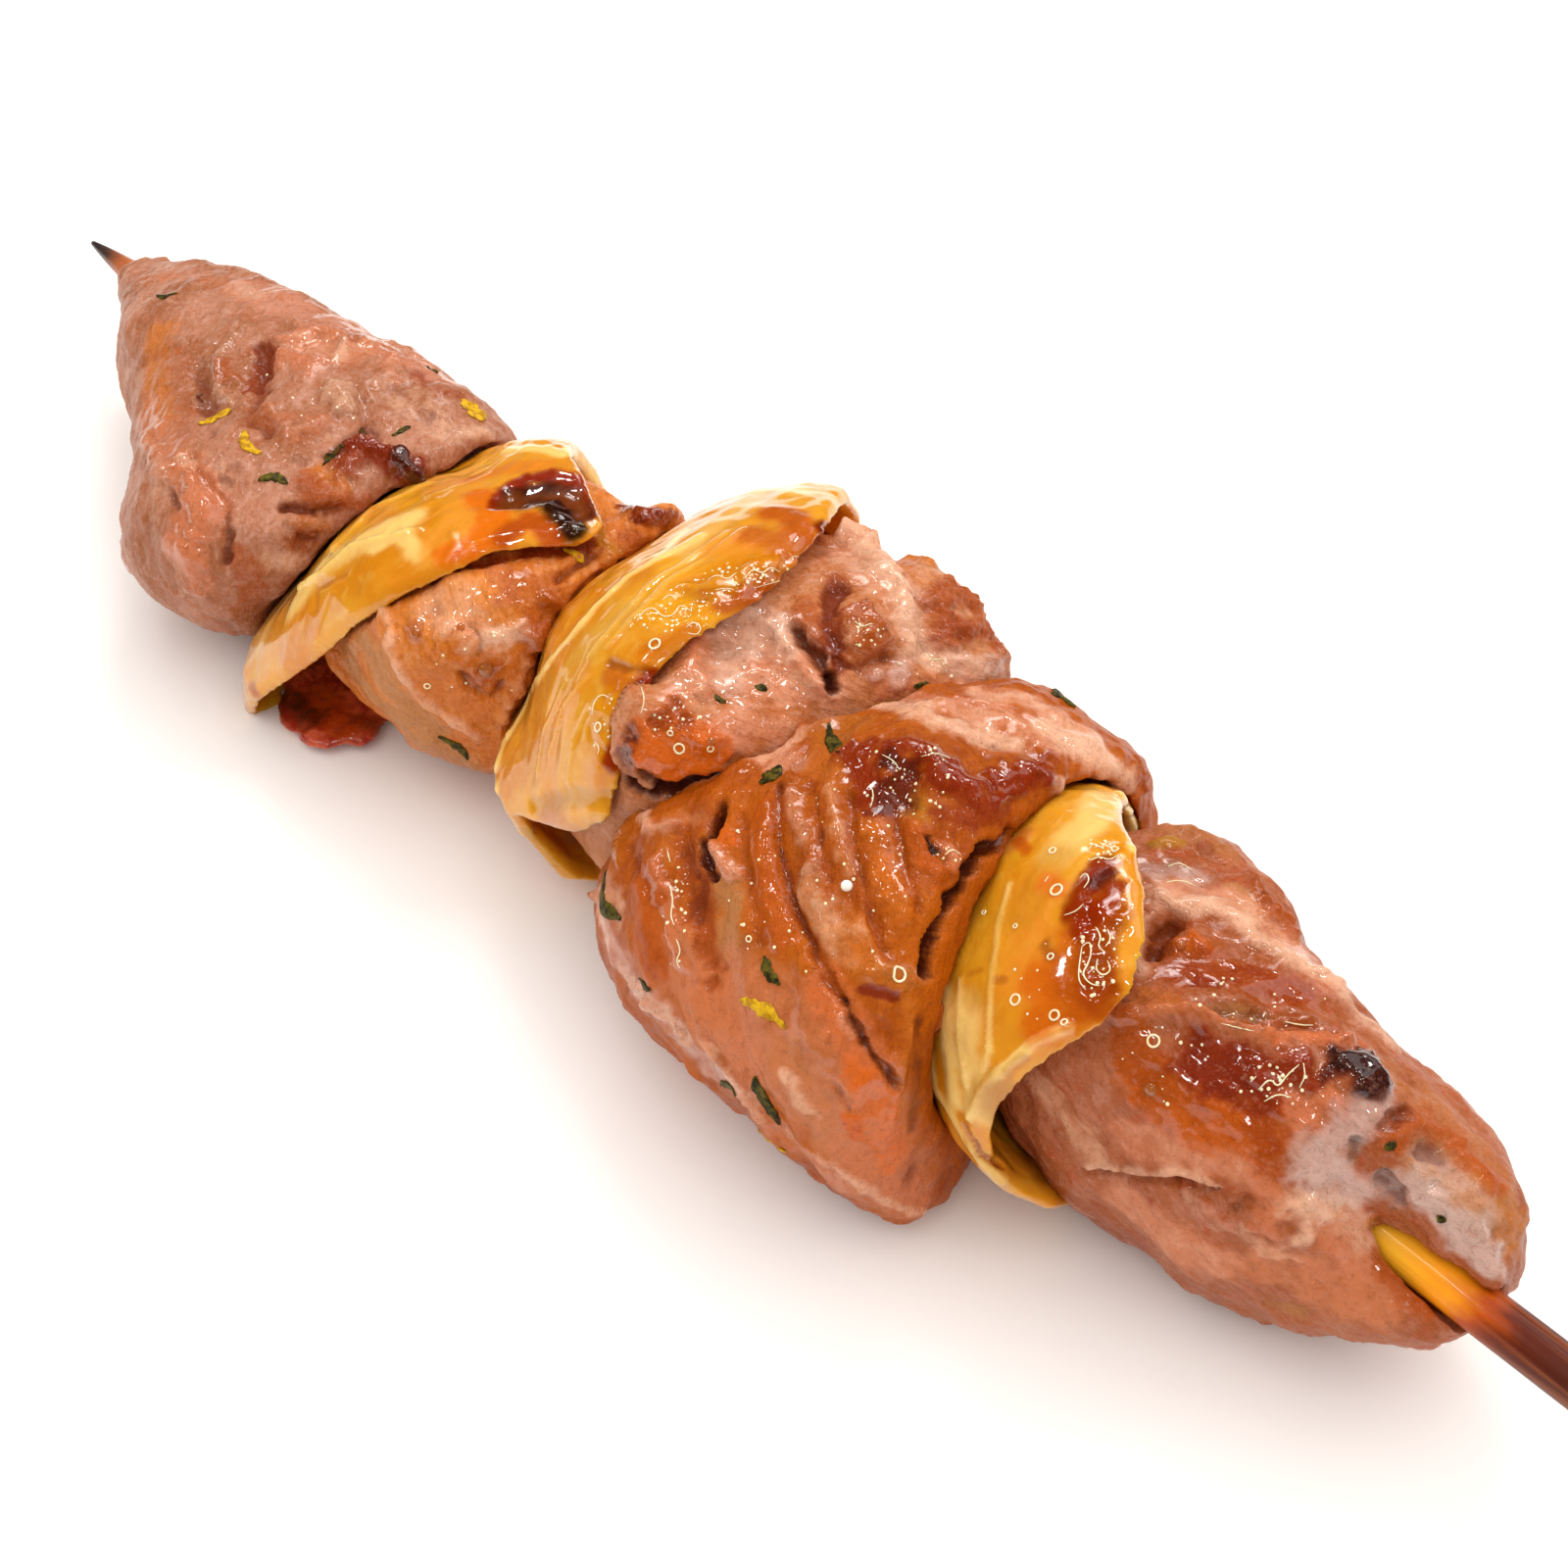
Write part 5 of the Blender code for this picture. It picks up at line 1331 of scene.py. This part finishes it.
def leaf(start, end, normal, width, surface, draw, vertices, faces):
    """Adds one closed leaf from start to end on the surface, its edge uneven and its tips curled."""
    base = len(vertices)
    along = end - start
    across = normal.cross(along).normalized()
    bend = draw.uniform(-LEAF_BEND, LEAF_BEND) * along.length
    for ring in range(HERB_RINGS + 1):
        share = ring / HERB_RINGS
        off_middle = abs(2 * share - 1)
        full = math.sin(math.pi * (LEAF_TIP + (1 - 2 * LEAF_TIP) * share)) ** LEAF_FULLNESS
        half = 0.5 * width * full * draw.uniform(*LEAF_UNEVENNESS)
        middle = start + along * share + across * bend * math.sin(math.pi * share)
        for side in range(HERB_SIDES):
            angle = 2 * math.pi * side / HERB_SIDES
            spot = middle + across * half * math.cos(angle)
            ground, up, _, _ = surface.tree.find_nearest(spot)
            if up.dot(normal) < 0:
                up = normal
            lift = LEAF_LIFT + LEAF_THICKNESS * math.sin(angle) * (1 - 0.5 * off_middle)
            if math.sin(angle) > 0:
                crease = -LEAF_CREASE * math.exp(-((math.cos(angle) / LEAF_CREASE_WIDTH) ** 2))
            else:
                crease = 0.0
            curl = LEAF_CURL * max(0.0, off_middle - LEAF_CURL_FROM)
            vertices.append(in_frame(ground + up * (lift + crease + curl)))
    wrap(faces, base, HERB_RINGS + 1, HERB_SIDES, other_way=True)
    faces.append(tuple(reversed(range(base, base + HERB_SIDES))))
    faces.append(tuple(range(len(vertices) - HERB_SIDES, len(vertices))))


def build_herbs(surfaces, materials):
    draw = random.Random(HERB_SEED)
    lots = {"dark": ([], []), "yellow": ([], [])}
    for herb in HERBS:
        surface = surfaces[herb.node]
        start, end = (surface.under_pixel(pixel) for pixel in herb.tips)
        normal = surface.tree.find_nearest((start + end) / 2)[1]
        leaf(start, end, normal, herb.width, surface, draw, *lots[herb.kind])
    places = random.Random(HIDDEN_HERB_SEED)
    for node, low, high in HIDDEN_HERB_SPANS:
        for _ in range(HIDDEN_HERBS_EACH):
            x = low + (high - low) * places.uniform(*HIDDEN_HERB_SHARE)
            clock = math.radians(places.uniform(*HIDDEN_HERB_CLOCK))
            length = places.uniform(*HIDDEN_HERB_LENGTH)
            lean = math.radians(places.uniform(0, 90))
            outward = Vector((0, -math.sin(clock), math.cos(clock)))
            surface = surfaces[node]
            spot, normal, _, _ = surface.tree.ray_cast(Vector((x, 0, 0)) + outward * FAR_OUT, -outward)
            if spot is None:
                continue
            ahead = Vector((1, 0, 0))
            ahead = (ahead - normal * ahead.dot(normal)).normalized()
            run = (ahead * math.cos(lean) + normal.cross(ahead) * math.sin(lean)) * length / 2
            lot = lots[draw.choice(("dark", "yellow"))]
            leaf(spot - run, spot + run, normal, HIDDEN_HERB_WIDTH, surface, draw, *lot)
    for kind, (vertices, faces) in lots.items():
        herbs = mesh_object(kind + "_herbs", vertices, faces)
        dress(herbs, materials[kind], "grilled_meat")


# Beads of oil: (node, pixel, radius in millimetres)


BEADS = (
    ("meat_second", (496, 684), 0.62),
    ("meat_second", (424, 646), 0.5),
    ("meat_second", (470, 640), 0.35),
    ("meat_third", (726, 757), 0.35),
    ("meat_near", (1174, 1112), 0.45),
    ("meat_near", (1206, 965), 0.4),
)
# Painted ring highlights, built as the near-white rims of burst bubbles: (node, pixel of the middle,
# radius of the rim in millimetres)
BUBBLE_RIM_GLINTS = (
    ("onion_middle", (668, 657), 0.42),
    ("onion_middle", (610, 742), 0.34),
    ("onion_middle", (633, 771), 0.22),
    ("onion_near", (1078, 908), 0.42),
    ("onion_near", (1074, 868), 0.24),
    ("onion_near", (1036, 1020), 0.36),
    ("onion_near", (1076, 1036), 0.34),
    ("onion_near", (1086, 1043), 0.22),
    ("onion_near", (1072, 976), 0.22),
    ("onion_near", (1036, 945), 0.16),
    ("onion_near", (1004, 931), 0.16),
    ("onion_near", (1138, 866), 0.24),
    ("meat_third", (693, 764), 0.38),
    ("meat_third", (725, 764), 0.24),
    ("meat_third", (684, 748), 0.2),
    ("meat_fourth", (764, 958), 0.2),
    ("meat_fourth", (917, 994), 0.5),
    ("meat_near", (1177, 1062), 0.4),
    ("meat_second", (436, 700), 0.24),
)
# Painted squiggle highlights, built as near-white threads of fat and foam in the glaze: (node, pixels,
# radius in millimetres)
THREAD_GLINTS = (
    ("onion_middle",
     [(650, 634), (658, 622), (668, 620), (676, 630), (688, 628), (694, 616), (706, 624)], 0.09),
    ("onion_middle", [(676, 612), (684, 606), (690, 612)], 0.08),
    ("onion_middle", [(700, 640), (708, 634), (716, 640), (712, 648), (702, 646)], 0.08),
    ("onion_middle", [(604, 730), (606, 716), (614, 708), (622, 712)], 0.09),
    ("onion_middle", [(606, 756), (612, 762), (610, 770)], 0.08),
    ("onion_middle", [(722, 592), (732, 586), (742, 592), (752, 584)], 0.08),
    ("onion_middle", [(760, 590), (768, 580), (778, 586), (786, 578), (796, 584)], 0.08),
    ("onion_middle", [(730, 602), (744, 600), (752, 604)], 0.07),
    ("onion_middle", [(770, 600), (784, 596), (798, 592)], 0.07),
    ("onion_middle", [(804, 572), (812, 566), (818, 572)], 0.08),
    ("onion_near", [(1110, 868), (1116, 860), (1124, 866), (1130, 858), (1138, 862)], 0.08),
    ("onion_near", [(1112, 878), (1122, 874), (1132, 878), (1142, 872)], 0.08),
    ("onion_near", [(1102, 896), (1108, 890), (1112, 898), (1106, 906)], 0.08),
    ("onion_near", [(1118, 946), (1124, 956), (1120, 966), (1128, 972)], 0.09),
    ("onion_near", [(1130, 948), (1134, 958), (1128, 966)], 0.08),
    ("onion_near",
     [(1104, 966), (1112, 960), (1114, 972), (1110, 984), (1104, 994), (1112, 1004), (1122, 1006)], 0.1),
    ("onion_near", [(1104, 966), (1102, 980), (1100, 1000), (1108, 1010)], 0.08),
    ("onion_near", [(1120, 978), (1118, 990), (1126, 996), (1134, 990), (1130, 980)], 0.09),
    ("onion_near", [(1086, 934), (1098, 930), (1106, 922)], 0.07),
    ("onion_near", [(1066, 900), (1070, 894)], 0.07),
    ("meat_third", [(872, 634), (880, 640), (890, 636)], 0.09),
    ("meat_third", [(944, 668), (952, 674), (962, 672)], 0.08),
    ("meat_third", [(654, 700), (658, 714), (654, 728)], 0.08),
    ("meat_fourth", [(683, 902), (687, 918), (684, 934), (688, 944)], 0.1),
    ("meat_fourth", [(690, 958), (695, 970), (690, 980), (694, 988)], 0.1),
    ("meat_fourth", [(681, 868), (684, 880)], 0.08),
    ("meat_fourth", [(900, 770), (912, 776), (918, 786)], 0.07),
    ("meat_fourth", [(888, 800), (892, 812), (888, 824)], 0.07),
    ("meat_fourth", [(940, 772), (956, 768), (970, 774)], 0.07),
    ("meat_fourth", [(964, 872), (972, 866), (980, 872)], 0.09),
    ("meat_near", [(1284, 1112), (1296, 1100), (1304, 1110), (1314, 1096), (1326, 1086)], 0.1),
    ("meat_near", [(1290, 1124), (1304, 1116), (1318, 1120)], 0.08),
    ("meat_near", [(1330, 1084), (1332, 1098), (1326, 1110)], 0.08),
    ("meat_near", [(1276, 1104), (1282, 1098)], 0.07),
    ("meat_near", [(1310, 1042), (1326, 1046), (1340, 1046)], 0.09),
    ("meat_near", [(1246, 1044), (1262, 1048), (1280, 1052)], 0.07),
    ("meat_near", [(1192, 884), (1204, 880), (1216, 888)], 0.08),
    ("meat_near", [(1190, 900), (1206, 898), (1220, 904)], 0.07),
)
# Patches of tiny near-white drops, painted glints: (node, pixel of the middle, half sizes in pixels, how
# many)
DROP_GLINTS = (
    ("onion_middle", (770, 585), (50, 12), 26),
    ("onion_middle", (682, 632), (30, 16), 14),
    ("onion_middle", (615, 738), (14, 34), 14),
    ("onion_near", (1124, 868), (18, 14), 14),
    ("onion_near", (1120, 980), (20, 42), 24),
    ("onion_near", (1060, 1000), (30, 40), 8),
    ("meat_third", (885, 645), (20, 16), 14),
    ("meat_third", (690, 750), (36, 28), 10),
    ("meat_third", (960, 680), (50, 12), 8),
    ("meat_fourth", (930, 795), (60, 36), 26),
    ("meat_fourth", (690, 930), (14, 60), 16),
    ("meat_fourth", (830, 900), (100, 100), 34),
    ("meat_fourth", (970, 870), (14, 10), 6),
    ("meat_near", (1300, 1108), (36, 22), 22),
    ("meat_near", (1190, 1090), (50, 46), 12),
    ("meat_near", (1280, 1015), (80, 26), 14),
    ("meat_second", (490, 680), (56, 40), 10),
    ("meat_far", (340, 400), (110, 55), 8),
)
DROP_RADII = (0.06, 0.15)
DROP_SEED = 33
# A grain of salt: (node, pixel, radius in millimetres)
CRYSTAL = ("meat_fourth", (864, 904), 0.42)

THREAD_STEP = 0.12
THREAD_SHARE = 0.6
THREAD_SIDES = 8
# Shares of a thread's radius: at its open ends, and its middle's height over the surface
THREAD_TIP = 0.35
THREAD_RISE = 0.4
BUBBLE_TURNS = 16
BUBBLE_RIM = 0.132
BEAD_RINGS = 7
BEAD_SIDES = 18
# Heights of drops as shares of their radii
DROP_HEIGHT = 0.7
BEAD_HEIGHT = 0.6
CRYSTAL_HEIGHT = 0.8


def dome(spot, up, radius, flatness, vertices, faces):
    """Adds one closed drop that sits on the surface at spot."""
    side_way = up.orthogonal().normalized()
    other_way = up.cross(side_way)
    base = len(vertices)
    for ring in range(1, BEAD_RINGS):
        angle = math.pi * ring / BEAD_RINGS
        for side in range(BEAD_SIDES):
            turn = 2 * math.pi * side / BEAD_SIDES
            out = side_way * math.cos(turn) + other_way * math.sin(turn)
            reach = out * math.sin(angle) + up * math.cos(angle) * flatness
            vertices.append(in_frame(spot + reach * radius))
    wrap(faces, base, BEAD_RINGS - 1, BEAD_SIDES)
    vertices.append(in_frame(spot + up * flatness * radius))
    vertices.append(in_frame(spot - up * flatness * radius))
    top, bottom = len(vertices) - 2, len(vertices) - 1
    last = base + (BEAD_RINGS - 2) * BEAD_SIDES
    for side in range(BEAD_SIDES):
        after = (side + 1) % BEAD_SIDES
        faces.append((base + side, base + after, top))
        faces.append((last + after, last + side, bottom))


def thread(surface, path, radius, closed, vertices, faces):
    """Adds one fine tube along a path, half sunk in the surface, thinner at its open ends."""
    fine = []
    for start, end in zip(path, path[1:]):
        steps = max(1, round((end - start).length / THREAD_STEP))
        fine += [start.lerp(end, step / steps) for step in range(steps)]
    if not closed:
        fine.append(path[-1])
    base = len(vertices)
    last = len(fine) - 1
    for number, spot in enumerate(fine):
        ahead = fine[(number + 1) % len(fine)] if closed or number < last else spot
        behind = fine[number - 1] if closed or number else spot
        along = (ahead - behind).normalized()
        ground, up, _, _ = surface.tree.find_nearest(spot)
        across = up.cross(along).normalized()
        share = number / max(1, last)
        full = radius
        if not closed:
            full = radius * (THREAD_TIP + (1 - THREAD_TIP) * math.sin(math.pi * share) ** 0.5)
        for side in range(THREAD_SIDES):
            angle = 2 * math.pi * side / THREAD_SIDES
            out = across * math.cos(angle) + up * math.sin(angle)
            vertices.append(in_frame(ground + up * full * THREAD_RISE + out * full))
    wrap(faces, base, len(fine), THREAD_SIDES, other_way=True, closed=closed)
    if not closed:
        faces.append(tuple(range(base, base + THREAD_SIDES)))
        faces.append(tuple(reversed(range(len(vertices) - THREAD_SIDES, len(vertices)))))


def rounded(pixels):
    """The same path with its corners cut off twice."""
    for _ in range(2):
        cut = [pixels[0]]
        for start, end in zip(pixels, pixels[1:]):
            start, end = Vector(start), Vector(end)
            cut += [start.lerp(end, 0.25), start.lerp(end, 0.75)]
        pixels = cut + [pixels[-1]]
    return pixels


# Lays the painted highlights: bubble rims, threads and drops of near-white foam
def build_foam_glints(surfaces, material):
    vertices, faces = [], []
    for node, pixel, size in BUBBLE_RIM_GLINTS:
        spot, up = surfaces[node].seat_under(pixel)
        side_way = up.orthogonal().normalized()
        other_way = up.cross(side_way)
        path = []
        for step in range(BUBBLE_TURNS + 1):
            turn = 2 * math.pi * step / BUBBLE_TURNS
            path.append(spot + (side_way * math.cos(turn) + other_way * math.sin(turn)) * size)
        thread(surfaces[node], path, BUBBLE_RIM * size ** 0.5, True, vertices, faces)
    for node, pixels, radius in THREAD_GLINTS:
        path = surfaces[node].path_under(rounded(pixels))
        thread(surfaces[node], path, radius * THREAD_SHARE, False, vertices, faces)
    draw = random.Random(DROP_SEED)
    for node, (across, down), (half_width, half_height), count in DROP_GLINTS:
        for _ in range(count):
            turn = draw.uniform(0, 2 * math.pi)
            reach = math.sqrt(draw.uniform(0, 1))
            pixel = (
                across + half_width * reach * math.cos(turn),
                down + half_height * reach * math.sin(turn),
            )
            spot, up = surfaces[node].seat_under(pixel)
            dome(spot, up, draw.uniform(*DROP_RADII), DROP_HEIGHT, vertices, faces)
    foam_glints = mesh_object("glaze_foam_glints", vertices, faces)
    dress(foam_glints, material, "grilled_onion")


def build_beads(surfaces, oil, crystal):
    vertices, faces = [], []
    for node, pixel, radius in BEADS:
        dome(*surfaces[node].seat_under(pixel), radius, BEAD_HEIGHT, vertices, faces)
    dress(mesh_object("oil_beads", vertices, faces), oil, "grilled_meat")
    node, pixel, radius = CRYSTAL
    vertices, faces = [], []
    dome(*surfaces[node].seat_under(pixel), radius, CRYSTAL_HEIGHT, vertices, faces)
    dress(mesh_object("salt_crystal", vertices, faces, smooth=False), crystal, "grilled_meat")


# The stage


FLOOR_HALF_SIZE = 3.0
DAYLIGHT = (1.0, 0.985, 0.965)
WORLD_STRENGTH = 0.77
LAMP_COLOR = (1.0, 0.985, 0.96)
CARD_COLOR = (1.0, 0.99, 0.97)
LAMP_TARGET = (-30, 0, 0)
NEAREST_SEEN = 0.01
FARTHEST_SEEN = 20.0
# Every light is its place in stick millimetres, its size in metres and its watts
SOFTBOX = ((0, 0, 1000), 2.2, 14.0)
# Lamps that light everything
LAMPS = (
    ((-200, 230, 430), 0.14, 0.55),
    ((60, 330, 330), 0.26, 0.3),
)
# Cards that only gloss mirrors, as sharp glints and one soft sheen
CARDS = (
    ((-300, 290, 420), 0.16, 0.34),
    ((-380, 60, 400), 0.04, 0.2),
    ((-250, 130, 470), 0.03, 0.12),
    ((-130, 330, 380), 0.04, 0.2),
    ((-100, 40, 500), 0.04, 0.16),
    ((-280, -160, 430), 0.04, 0.2),
    ((60, 170, 460), 0.04, 0.2),
    ((-60, -240, 420), 0.04, 0.18),
    ((240, 120, 400), 0.04, 0.16),
    ((180, -140, 430), 0.04, 0.12),
)


def build_stage():
    size = FLOOR_HALF_SIZE
    corners = [(-size, -size, 0), (size, -size, 0), (size, size, 0), (-size, size, 0)]
    floor = mesh_object("floor", [Vector(corner) for corner in corners], [(0, 1, 2, 3)], smooth=False)
    paint = Paint("white_table")
    tone = paint.mix(paint.noise(40), linear(*TABLE_DEEP), linear(*TABLE_PALE))
    paint.set(color=tone, roughness=0.55)
    floor.data.materials.append(paint.material)
    world = bpy.data.worlds.new("studio")
    bpy.context.scene.world = world
    world.use_nodes = True
    background = world.node_tree.nodes["Background"]
    background.inputs[0].default_value = DAYLIGHT + (1.0,)
    background.inputs[1].default_value = WORLD_STRENGTH
    world.cycles_visibility.glossy = False
    add_area("overhead_softbox", *SOFTBOX, DAYLIGHT).visible_glossy = False
    for number, lamp in enumerate(LAMPS):
        add_area(f"lamp_{number}", *lamp, LAMP_COLOR)
    for number, light in enumerate(CARDS):
        card = add_area(f"card_{number}", *light, CARD_COLOR)
        card.visible_diffuse = False
        card.visible_transmission = False
    scene = bpy.context.scene
    scene.view_settings.view_transform = "Standard"
    scene.view_settings.look = "None"
    scene.view_settings.exposure = 0.0
    scene.view_settings.gamma = 1.0


def add_area(name, place, size, power, color):
    """A square light at a place in stick millimetres, aimed at the middle of the meat."""
    lamp = bpy.data.lights.new(name, "AREA")
    lamp.shape = "SQUARE"
    lamp.size = size
    lamp.energy = power
    lamp.color = color
    thing = link(bpy.data.objects.new(name, lamp))
    target = in_frame(LAMP_TARGET)
    thing.location = in_frame(place)
    thing.rotation_euler = (target - thing.location).to_track_quat("-Z", "Y").to_euler()
    return thing


def build_camera():
    camera = bpy.data.cameras.new("camera")
    camera.sensor_width = SENSOR_MM
    camera.lens = SENSOR_MM * CAMERA_FOCAL_PIXELS / PHOTO_SIZE
    camera.clip_start = NEAREST_SEEN
    camera.clip_end = FARTHEST_SEEN
    thing = link(bpy.data.objects.new("camera", camera))
    turn = Matrix((CAMERA_RIGHT, -CAMERA_DOWN, -CAMERA_FORWARD)).transposed()
    thing.matrix_world = Matrix.Translation(CAMERA_PLACE) @ turn.to_4x4()
    bpy.context.scene.camera = thing


build_camera()
build_stage()
surfaces = {}
for cut in CUTS:
    surfaces[cut.node] = build_chunk(cut, meat_material(cut))
onion = onion_material()
for node, seed in PETAL_SEEDS.items():
    surfaces[node] = build_petal(node, seed, onion)
build_scrap(scrap_material())
build_stick(stick_material())
for surface in surfaces.values():
    surface.settle()
build_herbs(surfaces, {
    "dark": herb_material("dark_herb", *DARK_HERB),
    "yellow": herb_material("yellow_herb", *YELLOW_HERB),
})
build_beads(surfaces, oil_material(), crystal_material())
build_foam_glints(surfaces, foam_glint_material())
